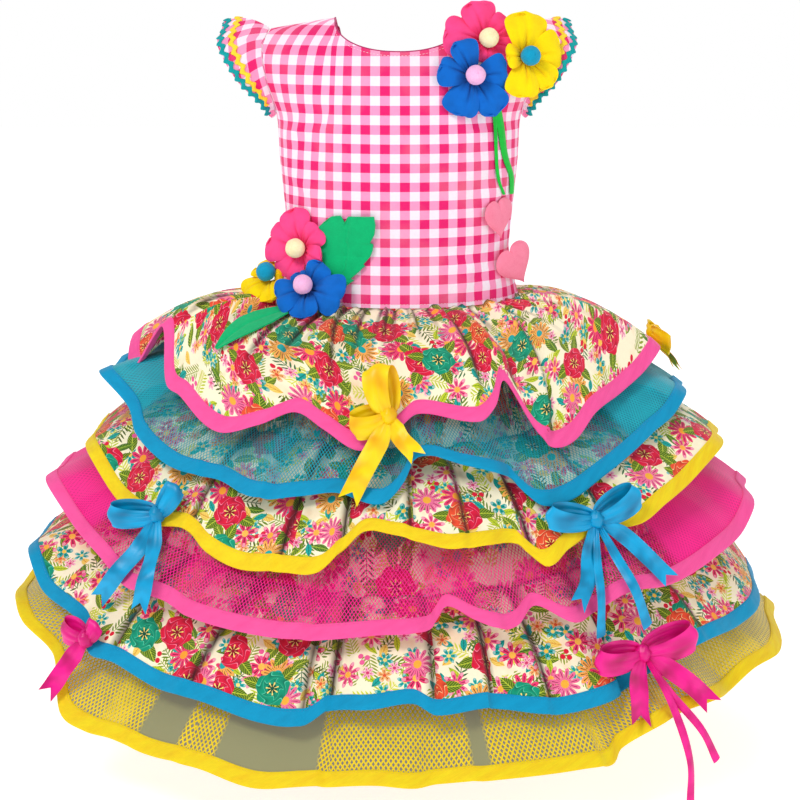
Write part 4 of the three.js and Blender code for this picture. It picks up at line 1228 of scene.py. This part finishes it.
BALL_RADIUS = 8.0
PETAL_HUB = 3.0
PETAL_COTTON = 0.9


def facing(at, tilt=0.0):
    turn, lean = math.radians(at), math.radians(tilt)
    out = np.array([math.sin(turn) * math.cos(lean), -math.cos(turn) * math.cos(lean), math.sin(lean)])
    right = np.array([math.cos(turn), math.sin(turn), 0.0])
    return right, np.cross(out, right), out


def placed(axes, centre, right, up, out):
    """Points measured right, up and out from a centre, in the way that it faces."""
    sideways = np.asarray(centre) + right[..., None] * axes[0]
    return sideways + up[..., None] * axes[1] + out[..., None] * axes[2]


def round_grid(around, high, pole):
    """Angles round and up a ball that stop a little short of its poles."""
    rises = np.linspace(-0.5 * np.pi + pole, 0.5 * np.pi - pole, high)
    return np.meshgrid(np.linspace(0, 2 * np.pi, around + 1)[:-1], rises)


def petal_material(name, colour, shade_and_mottle):
    material, tree, shader, cut = cloth_finish(name, 0.8, 0.1)
    side, out = across_and_along(tree, cut)
    # Painted shade: the petal darkens towards the hub under the felt ball and along its middle fold; the
    # noise below is the cloth's own uneven dye.
    fold_shade = ((side.size() / -2.2) + 1.0).either(0.0).also(((out / -26.0) + 1.0).either(0.0))
    shaded_petal = dye(tree, colour, shade_and_mottle, ((out / -15.0) + 1.0).either(0.0).either(fold_shade * 0.9))
    woven(tree, shader, cut, dye(tree, shaded_petal, shade_and_mottle, (noise(tree, cut, 0.09, 3.0) - 0.45) * 0.9), 0.4)
    return material


PETALS = {
    "pink": petal_material("petal_pink", "FF4A8E", "E00A4C"),
    "blue": petal_material("petal_blue", "0468C8", "04205A"),
    "yellow": petal_material("petal_yellow", "FFE000", "F2A800"),
}


def felted(name, colour, dark):
    material, tree, shader, _ = cloth_finish(name, 0.95, 0.2)
    place = tree.nodes.new("ShaderNodeTexCoord").outputs["Object"]
    fibres = noise(tree, place, 900.0, 6.0)
    clumps = noise(tree, place, 160.0, 3.0)
    pile = fibres * 0.6 + clumps * 0.6
    tree.links.new(bumped(tree, pile, 0.6, 0.0004), shader.inputs["Normal"])
    tree.links.new(dye(tree, colour, dark, (pile - 0.45) * 1.4), shader.inputs["Base Color"])
    return material


BALLS = {
    "cream": felted("ball_cream", "FFF3C8", "EBD48C"),
    "pink": felted("ball_pink", "F9C0E8", "E793CC"),
    "teal": felted("ball_teal", "0C9FC8", "077C9E"),
}
for name, petal, ball, centre, turn, tilt, petals in FLOWERS:
    axes = facing(turn, tilt)
    points, faces, flats = [], [], []
    for k, (way, length) in enumerate(petals):
        before = (way - petals[k - 1][0]) % 360
        after = (petals[(k + 1) % len(petals)][0] - way) % 360
        s, t = np.meshgrid(np.linspace(-1, 1, 31), np.sin(np.linspace(0, np.pi / 2, 26)))
        spread = np.where(s < 0, min(before, 84), min(after, 84)) / 2
        rounded = np.sqrt(np.maximum(1 - t**6, 0.004))
        half = length * 0.84 * np.tan(np.radians(np.clip(spread, 20, 38))) * (t + 0.1) ** 0.6 * rounded
        notch = 0.09 * ((k + 1) % 2) * np.exp(-((s * half / (0.15 * length)) ** 2)) * t**8
        reach = PETAL_HUB + (length - PETAL_HUB) * t * (1 - 0.05 * s**2 * t - notch)
        cup = 6.0 * t * (1 - 0.7 * t**2)
        crown = 3.4 * np.sin(np.pi * t) * (1 - s**2) + 1.6 * np.abs(s) ** 3 * t * (0.4 + np.sin(2.3 * k))
        middle_fold = 3.6 * np.exp(-((s / 0.10) ** 2)) * np.exp(-t / 0.45)
        side_folds = 1.4 * np.exp(-(((np.abs(s) - 0.45) / 0.12) ** 2)) * np.exp(-t / 0.35)
        pinch = -middle_fold - side_folds
        overlap = 1.5 * s * np.sin(np.pi * np.clip(t, 0, 1) * 0.8)
        curl = 1.2 * np.sin(5.1 * s + k) * t**2
        direction = math.radians(way)
        across = s * half
        right = reach * math.cos(direction) - across * math.sin(direction)
        up = reach * math.sin(direction) + across * math.cos(direction)
        grid = placed(axes, centre, right, up, cup + crown + pinch + overlap + curl - 0.4)
        normal = normals_of(grid)
        rows, columns = s.shape
        start = sum(len(layer) for layer in points)
        for layer in (grid + normal * PETAL_COTTON / 2, grid - normal * PETAL_COTTON / 2):
            points.append(layer.reshape(-1, 3) * 0.001)
        index = start + np.arange(rows * columns).reshape(rows, columns)
        inner = index + rows * columns
        flat = np.stack([across, reach], -1)
        for i in range(rows - 1):
            for j in range(columns - 1):
                square = ((i, j), (i, j + 1), (i + 1, j + 1), (i + 1, j))
                faces.append([int(index[p]) for p in square])
                flats += [flat[p] for p in square]
                faces.append([int(inner[p]) for p in square[::-1]])
                flats += [flat[p] for p in square[::-1]]
        border = [(0, j) for j in range(columns)] + [(i, columns - 1) for i in range(1, rows)]
        border += [(rows - 1, j) for j in range(columns - 2, -1, -1)]
        border += [(i, 0) for i in range(rows - 2, 0, -1)]
        for p, q in zip(border, border[1:] + border[:1]):
            faces.append([int(index[q]), int(index[p]), int(inner[p]), int(inner[q])])
            flats += [flat[q], flat[p], flat[p], flat[q]]
    piece_of(
        name + "_petals", np.concatenate(points), faces, np.array(flats), PETALS[petal],
        [name])

    turn_at, rise_at = round_grid(32, 20, 0.02)
    lump = 1 + 0.012 * np.sin(5 * turn_at + 3 * rise_at) + 0.010 * np.sin(9 * rise_at + 2 * turn_at)
    sphere = placed(
        axes, centre, BALL_RADIUS * lump * np.cos(rise_at) * np.cos(turn_at),
        BALL_RADIUS * lump * np.cos(rise_at) * np.sin(turn_at),
        BALL_RADIUS * lump * np.sin(rise_at) + BALL_RADIUS + 1.3)
    ball_cut = flat_strip(np.linspace(0, 50, 33), np.linspace(0, 25, 20))
    bead = sew(
        name + "_bead", sphere, ball_cut, BALLS[ball], [name + "_ball"], thickness=0,
        ring=True)

# Leaves, stems and hearts
# Two leaves of green felt, one on the bodice and one on the top tier.
# Two ribbon stems hang from the shoulder flowers, with two padded felt hearts sewn on below them.

leaf_felt = felted("leaf_felt", "00BC74", "00A062")
heart_felt = felted("heart_felt", "FF8FAC", "F4708F")
stem_ribbon = cotton("stem_ribbon", "12C83E", "0A9A30", 0.5, 0.5, 0.1)
LEAF_SIDES = (
    (-210.5, -49, -43), (-207, -54, -38.5), (-204.5, -55, -35), (-203.5, -55.5, -38), (-197, -56.5, -31),
    (-192.5, -58.7, -26.5), (-191.5, -59, -28), (-185.7, -61, -23), (-179, -63, -20.5), (-174, -64, -19.8),
    (-173, -64, -22.5), (-166, -64.5, -19), (-158, -62, -18), (-151, -57, -19),
)
LEAF_TOP = ((0, -157), (0.12, -152.5), (0.3, -151.5), (0.4, -158), (0.46, -152), (1, -151))
LEAF_BASE = -210.5
LEAF_FELT = 1.4


def front_across(x, level):
    edge = bodice_point(FRONT, np.ones_like(x), level)[..., 0]
    reach = np.radians(np.where(level < ARMHOLE[0][0], 90, between(ARMHOLE, level, 2)))
    share = np.arcsin(np.clip((x / edge) * np.sin(reach), -1, 1)) / reach
    return bodice_point(FRONT, share, level)


def on_bodice(x, level, lift):
    here = front_across(x, level)
    across = front_across(x + 0.5, level) - front_across(x - 0.5, level)
    along = front_across(x, level + 0.5) - front_across(x, level - 0.5)
    return here + unit(np.cross(across, along)) * np.asarray(lift)[..., None]


t, s = np.meshgrid(np.linspace(0, 1, 90), np.linspace(0, 1, 61), indexing="ij")
line = LEAF_BASE + (LEAF_TOP[-1][1] - LEAF_BASE) * t
x = between(LEAF_SIDES, line, 1) * (1 - s) + between(LEAF_SIDES, line, 2) * s
level = line + (between(LEAF_TOP, s, 1) - LEAF_TOP[-1][1]) * t**6
rib = np.exp(-(((s - 0.52) / 0.03) ** 2))
lift = 2.8 + 1.1 * np.abs(2 * s - 1) ** 2 - 0.5 * rib + 1.4 * t**3 * s + 0.6 * np.sin(6 * t + 2 * s)
sew("leaf_large_felt", on_bodice(x, level, lift), np.stack([s * 40, t * 60], -1), leaf_felt,
    ["leaf_large"], thickness=LEAF_FELT)

LOW_LEAF = ((0.19, -50, -43), (0.3, -53, -43), (0.41, -54, -44.5), (0.53, -52, -46.5), (0.66, -49.5, -48.5))
t, s = np.meshgrid(np.linspace(0, 1, 50), np.linspace(0, 1, 21), indexing="ij")
down = LOW_LEAF[0][0] + t * (LOW_LEAF[-1][0] - LOW_LEAF[0][0])
at = between(LOW_LEAF, down, 1) * (1 - s) + between(LOW_LEAF, down, 2) * s


def on_tier(tier, at, down, lift):
    here = tier_surface(tier, at, down)
    across = tier_surface(tier, at + 0.3, down) - tier_surface(tier, at - 0.3, down)
    along = tier_surface(tier, at, down + 0.01) - tier_surface(tier, at, down - 0.01)
    return here + unit(np.cross(along, across)) * np.asarray(lift)[..., None]


rib = np.exp(-(((s - 0.5) / 0.08) ** 2))
lift = 3.4 + 1.2 * np.abs(2 * s - 1) ** 2 - 0.6 * rib + 1.0 * t
grid = on_tier(TIERS[0], at, down, lift)
cut = np.stack([s * 16, t * 50], -1)
sew("leaf_low_felt", grid, cut, leaf_felt, ["leaf_low"], thickness=LEAF_FELT)


def smooth_path(places, count):
    """Points on a soft curve through a few places."""
    places = np.array(places, float)
    knots = lengths_along(places, 0)
    extended = np.concatenate([2 * places[:1] - places[1:2], places, 2 * places[-1:] - places[-2:-1]])
    at = np.linspace(0, knots[-1], count)
    i = np.clip(np.searchsorted(knots, at, "right") - 1, 0, len(places) - 2)
    t = ((at - knots[i]) / (knots[i + 1] - knots[i]))[:, None]
    a, b, c, d = extended[i], extended[i + 1], extended[i + 2], extended[i + 3]
    return 0.5 * (2 * b + (c - a) * t + (2 * a - 5 * b + 4 * c - d) * t**2 + (3 * b - a - 3 * c + d) * t**3)


RIBBON = 0.5
STEMS = (
    ("stem_inner", (2.8, 2.2), ((75.5, -68), (77.5, -96), (79.6, -124), (84.5, -138))),
    ("stem_outer", (6.4, 3.4), ((78, -66), (85, -104), (90.5, -123), (91.5, -139))),
)
for name, widths, places in STEMS:
    t, s = np.meshgrid(np.linspace(0, len(places) - 1, 60), np.linspace(-0.5, 0.5, 7), indexing="ij")
    width = widths[0] + (widths[1] - widths[0]) * t / (len(places) - 1)
    path = smooth_path([(*p, 0) for p in places], 60)
    x = path[:, :1] + s * width
    level = path[:, 1:2] + 0 * s
    grid = on_bodice(x, level, 2.2 + 0.5 * np.cos(2 * np.pi * s) + 0.4 * np.sin(3 * t))
    cut = np.stack([s * width, t * 25], -1)
    sew(name + "_ribbon", grid, cut, stem_ribbon, [name], thickness=RIBBON)

HEART_POINTS = 96
HEARTS = (
    ("heart_upper", (82, -42.6, -156), 50, 0, 8, 34, 36),
    ("heart_lower", (96.2, -30.1, -196), 38, 4, 28, 36, 38),
)
for name, centre, turn, tilt, lean, width, height in HEARTS:
    a = np.linspace(0, 2 * np.pi, HEART_POINTS + 1)[:-1]
    outline_x = np.sin(a) ** 3
    outline_y = (13 * np.cos(a) - 3.4 * np.cos(2 * a) - 1.4 * np.cos(3 * a) - 0.6 * np.cos(4 * a)) / 15.5
    cos_lean, sin_lean = math.cos(math.radians(lean)), math.sin(math.radians(lean))
    profile = [(r, 1.0) for r in np.linspace(0.02, 1, 16)] + [(r, -1.0) for r in np.linspace(1, 0.02, 8)]
    rows = []
    for r, side_of in profile:
        x = outline_x * width * 0.54 * r
        y = (outline_y + 0.05) * height * 0.54 * r
        dome = (1 - r**3.0) ** 0.6
        puff = side_of * dome * (2.6 if side_of > 0 else 0.9)
        right = x * cos_lean - y * sin_lean
        up = x * sin_lean + y * cos_lean
        rows.append(placed(facing(turn, tilt), centre, right, up, np.full_like(x, puff)))
    cut = np.zeros((len(profile), HEART_POINTS + 1, 2))
    heart = sew(name + "_felt", np.array(rows), cut, heart_felt, [name], thickness=0, ring=True)

# Ribbon bows
# Satin ribbon tied in loops with a small knot, its wide ends cut in a swallow tail and its narrow ones
# aslant. They are sewn to the tiers: yellow at the front and the left side, blue and pink on both sides.

# Each bow: its knot and the way it faces, its loops with their reach right, up and out, width and opening,
# and its tails with their width and the places that they pass.
BOWS = (
    ("bow_yellow_front", "yellow", (-8, -184, -291.2), -3,
     ((-9, 37, -6, 22, 14), (-28, -8, 7, 20, 9)),
     ((16, (-6, -17, 10), (-18, -39, 20), (-30, -63, 25)), (14, (9, -15, 8), (19, -25, 12), (24, -31, 15)))),
    ("bow_blue_right", "blue", (-190, -156, -377), -25,
     ((-39, -2, 9, 18, 9), (16, 23, -3, 17, 9)),
     ((14, (-10, -25, 12), (-21, -43, 27), (-41, -69, 28)), (14, (6, -23, 18), (10, -43, 37), (6, -68, 42)))),
    ("bow_blue_left", "blue", (153, -180, -375), 20,
     ((-43, 8, 6, 18, 9), (35, 19, 2, 20, 11)),
     ((15, (-9, -24, 11), (-18, -43, 25), (-31, -57, 37)), (7, (-5, -30, 16), (-9, -57, 32), (-9, -86, 33)),
      (13, (21, -13, 8), (38, -30, 16), (54, -48, 27)), (8, (10, -25, 15), (17, -48, 37), (30, -81, 36)))),
    ("bow_pink_left", "pink", (189, -206, -475), 22,
     ((-44, 1, 10, 20, 10), (43, 12, 5, 22, 12)),
     ((16, (-8, -16, 10), (-12, -33, 19), (-15, -48, 29)), (15, (22, -15, 13), (37, -28, 21), (47, -40, 31)),
      (6, (14, -27, 17), (36, -57, 31), (52, -86, 30)), (6, (13, -35, 25), (25, -80, 34), (29, -119, 30)))),
    ("bow_pink_right", "pink", (-246, -176, -473), -30,
     ((-27, 4, -4, 18, 8), (10, 13, 0, 15, 8)),
     ((15, (-12, -18, 7), (-21, -33, 11), (-29, -47, 19)),)),
    ("bow_yellow_side", "yellow", (217.2, 21, -263.6), 97,
     ((-27, -6, 8, 18, 9), (27, -4, 6, 18, 9)),
     ((13, (-9, -14, 10), (-14, -30, 22)), (13, (9, -14, 10), (15, -30, 22)))),
)


def satin(name, colour, shade_and_mottle):
    material, tree, shader, cut = cloth_finish(name, 0.34, 0.0)
    shader.inputs["Specular IOR Level"].default_value = 0.35
    shader.inputs["Anisotropic"].default_value = 0.5
    u, v = across_and_along(tree, cut)
    floats = (v * 9.0 + noise(tree, cut, 1.2, 2.0) * 3.0).sine() * 0.5 + 0.5
    tree.links.new(bumped(tree, floats, 0.25, 0.0001), shader.inputs["Normal"])
    # Painted light and shade: the ribbon darkens towards the knot, and broad noise paints the satin's lit and
    # shaded bands; the floats add a faint weave.
    knot_shade = ((u / -13.0) + 1.0).either(0.0) * 0.7
    shade = (noise(tree, cut, 0.06, 1.0) - 0.42) * 2.2 + knot_shade + floats * 0.05
    tree.links.new(dye(tree, colour, shade_and_mottle, shade), shader.inputs["Base Color"])
    return material


SATINS = {
    "yellow": satin("satin_yellow", "FADA00", "E89C00"),
    "blue": satin("satin_blue", "00A6DC", "00628E"),
    "pink": satin("satin_pink", "F41490", "A8004C"),
}


WIDE_TAIL = 10
LOOP_POINTS = 48
TAIL_POINTS = 40
RIBBON_LINES = 13


def ribbon_faces(grid, cut, ring, store):
    """Adds a ribbon of its thickness to the bow's points, faces and places on the cloth."""
    points, faces, flats = store
    rows, columns = grid.shape[:2]
    normal = normals_of(grid, ring)
    start = sum(len(layer) for layer in points)
    for layer in (grid + normal * RIBBON / 2, grid - normal * RIBBON / 2):
        points.append(layer.reshape(-1, 3) * 0.001)
    inner = rows * columns

    def index(i, j):
        return start + i * columns + j % columns

    spans = columns if ring else columns - 1
    for j in range(spans):
        for i in range(rows - 1):
            square = ((i, j), (i, j + 1), (i + 1, j + 1), (i + 1, j))
            flat = [cut[p[0], min(p[1], cut.shape[1] - 1)] for p in square]
            faces.append([index(*p) for p in square])
            flats += flat
            faces.append([index(*p) + inner for p in square[::-1]])
            flats += flat[::-1]
        for row, order in ((0, 1), (rows - 1, -1)):
            a, b = index(row, j), index(row, j + 1)
            faces.append([b, a, a + inner, b + inner][::order])
            flats += [cut[row, 0]] * 4
    if not ring:
        for i in range(rows - 1):
            for column, order in ((0, -1), (columns - 1, 1)):
                a, b = index(i, column), index(i + 1, column)
                faces.append([b, a, a + inner, b + inner][::order])
                flats += [cut[i, column]] * 4


for name, satin_name, knot, turn, loops, tails in BOWS:
    axes = facing(turn)
    store = ([], [], [])
    for right, up, out, width, opening in loops:
        length = math.hypot(right, up)
        a, e = np.meshgrid(
            np.linspace(0, 2 * np.pi, LOOP_POINTS + 1)[:-1], np.linspace(-0.5, 0.5, RIBBON_LINES))
        share = (1 - np.cos(a)) / 2
        fullness = 0.26 + 0.86 * np.abs(np.sin(a / 2)) ** 0.7
        across = e * width * fullness * 0.88 - 0.2 * width * np.sin(a) * np.sign(right)
        belly = 1 + 0.10 * np.cos(2 * np.pi * e)
        crumple = 0.9 * np.sin(6 * np.pi * e + 1.3) * (1 - share) * np.abs(np.sin(a))
        apart = opening / 2 * np.sin(a) * belly
        reach = share * (1 + 0.05 * np.cos(2 * np.pi * e))
        grid = placed(
            axes, knot, right * reach - across * up / length, up * reach + across * right / length,
            out * share + apart + crumple)
        flat = flat_strip(
            np.linspace(0, 2 * length, LOOP_POINTS + 1), np.linspace(-0.5, 0.5, RIBBON_LINES) * width)
        ribbon_faces(grid, flat, True, store)
    for width, *places in tails:
        path = smooth_path([(0, 0, 0), *places], TAIL_POINTS)
        run = np.gradient(path, axis=0)
        flat_run = np.hypot(run[:, 0], run[:, 1])
        s = np.linspace(-1, 1, RIBBON_LINES)
        t = np.linspace(0, 1, TAIL_POINTS)
        ends = 0.26 + 0.74 * np.clip(t / 0.3, 0, 1) ** 0.7
        grid = []
        total = float(np.linalg.norm(np.diff(path, axis=0), axis=1).sum())
        for k in s:
            # Wide tails end in a swallow tail, and narrow ones aslant.
            if width > WIDE_TAIL:
                short = 1 - (0.55 * width / total) * (1 - abs(k))
            else:
                short = 1 - (0.2 * width / total) * (1 + k)
            at = t * short
            here = np.stack([np.interp(at, t, path[:, c]) for c in range(3)], -1)
            way_right = np.interp(at, t, -run[:, 1] / flat_run)
            way_up = np.interp(at, t, run[:, 0] / flat_run)
            wide = np.interp(at, t, ends) * k * width / 2
            roll = 1.1 * np.sin(np.pi * (k + 1) / 2) + 0.8 * np.sin(4.0 * at * math.pi + k)
            pleat = 0.8 * math.cos(3 * math.pi * k) * np.exp(-at / 0.2)
            right = here[:, 0] + way_right * wide
            up = here[:, 1] + way_up * wide
            grid.append(placed(axes, knot, right, up, here[:, 2] + roll * ends + pleat))
        ribbon_faces(np.array(grid), flat_strip(t * total, s * width / 2), False, store)
    turn_at, rise_at = round_grid(24, 13, 0.03)
    wrap = 1 + 0.06 * np.cos(4 * turn_at) + 0.05 * np.sin(7 * rise_at)
    knot_grid = placed(
        axes, knot, 6.2 * wrap * np.cos(rise_at) * np.cos(turn_at), 6.8 * wrap * np.sin(rise_at),
        6.4 * wrap * np.cos(rise_at) * np.sin(turn_at) + 1.2)
    ribbon_faces(knot_grid, flat_strip(np.linspace(0, 30, 25), np.linspace(0, 13, 13)), True, store)
    points, faces, flats = store
    piece_of(
        name + "_satin", np.concatenate(points), faces, np.array(flats), SATINS[satin_name],
        [name])

# Stitches
# Short thread stitches, half sunk into every binding and laid along the front of the neck and the waist.
# One tree lays them along any line: its inputs are the pitch, the length, the thickness and the thread.

stitching, start, end = effect(
    "stitches_along_a_line",
    (
        ("Line", "Geometry", None),
        ("Pitch", "Float", 0.003),
        ("Length", "Float", 0.0021),
        ("Thread", "Float", 0.0003),
        ("Cotton", "Material", None),
    ),
    (("Stitches", "Geometry"),),
    "GeometryNodeTree",
)
to_curve = stitching.nodes.new("GeometryNodeMeshToCurve")
spaced = add_node(stitching, "GeometryNodeResampleCurve", {}, mode="LENGTH")
bead = add_node(stitching, "GeometryNodeMeshUVSphere", {"Segments": 6, "Rings": 4, "Radius": 0.5})
shape = stitching.nodes.new("GeometryNodeTransform")
sizes = stitching.nodes.new("ShaderNodeCombineXYZ")
tangent = stitching.nodes.new("GeometryNodeInputTangent")
turned = add_node(stitching, "FunctionNodeAlignRotationToVector", {}, axis="Z")
laid = stitching.nodes.new("GeometryNodeInstanceOnPoints")
joined = stitching.nodes.new("GeometryNodeRealizeInstances")
threaded = stitching.nodes.new("GeometryNodeSetMaterial")
for source, target in (
    (start.outputs["Line"], to_curve.inputs["Mesh"]),
    (to_curve.outputs["Curve"], spaced.inputs["Curve"]),
    (start.outputs["Pitch"], spaced.inputs["Length"]),
    (start.outputs["Thread"], sizes.inputs["X"]),
    (start.outputs["Thread"], sizes.inputs["Y"]),
    (start.outputs["Length"], sizes.inputs["Z"]),
    (bead.outputs["Mesh"], shape.inputs["Geometry"]),
    (sizes.outputs["Vector"], shape.inputs["Scale"]),
    (spaced.outputs["Curve"], laid.inputs["Points"]),
    (shape.outputs["Geometry"], laid.inputs["Instance"]),
    (tangent.outputs["Tangent"], turned.inputs["Vector"]),
    (turned.outputs["Rotation"], laid.inputs["Rotation"]),
    (laid.outputs["Instances"], joined.inputs["Geometry"]),
    (joined.outputs["Geometry"], threaded.inputs["Geometry"]),
    (start.outputs["Cotton"], threaded.inputs["Material"]),
    (threaded.outputs["Geometry"], end.inputs["Stitches"]),
):
    stitching.links.new(source, target)


def stitch(name, lines, thread, slot, pitch=3.0, length=2.1, thick=0.42):
    """Stitches along lines of points in millimetres."""
    points, edges = [], []
    for line, closed in lines:
        first = len(points)
        points += (np.asarray(line) * 0.001).tolist()
        edges += [(first + k, first + k + 1) for k in range(len(line) - 1)]
        if closed:
            edges.append((first + len(line) - 1, first))
    mesh = bpy.data.meshes.new(name + "_line")
    mesh.from_pydata(points, edges, [])
    carrier = bpy.data.objects.new(name + "_line", mesh)
    scene.collection.objects.link(carrier)
    layer = carrier.modifiers.new("stitches", "NODES")
    layer.node_group = stitching
    values = {"Pitch": pitch * 0.001, "Length": length * 0.001, "Thread": thick * 0.001, "Cotton": thread}
    for item in stitching.interface.items_tree:
        if item.name in values:
            layer[item.identifier] = values[item.name]
    ready = carrier.evaluated_get(bpy.context.evaluated_depsgraph_get())
    stitched = bpy.data.meshes.new_from_object(ready)
    stitched.polygons.foreach_set("use_smooth", [True] * len(stitched.polygons))
    if not stitched.materials:
        stitched.materials.append(thread)
    bpy.data.objects.remove(carrier)
    return part_of_dress(name, stitched)


def thread_material(name, colour):
    material, tree, shader, _ = cloth_finish(name, 0.5, 0.2)
    place = tree.nodes.new("ShaderNodeTexCoord").outputs["Object"]
    twist = noise(tree, place, 2500.0, 1.0)
    tree.links.new(dye(tree, colour, "FFFFFF", (twist - 0.5) * 0.4), shader.inputs["Base Color"])
    return material


THREADS = {
    "pink": thread_material("thread_pink", "F2479C"),
    "blue": thread_material("thread_blue", "0786C2"),
    "yellow": thread_material("thread_yellow", "EFC21C"),
}
for name, line, edge in stitch_lines:
    stitch(name, [(line, True)], THREADS[edge], "binding_" + edge)
white_thread = thread_material("thread_white", "FBE6F0")
share = np.linspace(-1, 1, 260)
neck_share = 0.43 * share
neck_line = bodice_surface(FRONT, neck_share, np.full_like(share, 0.014))
neck_line[:, 1] -= 0.75
waist_line = bodice_surface(FRONT, share * 0.98, np.full_like(share, 0.985))
waist_line += np.array([0, -0.7, 0])
stitch("bodice_stitches", [(neck_line, False), (waist_line, False)], white_thread, "gingham", 2.8, 2.0, 0.34)
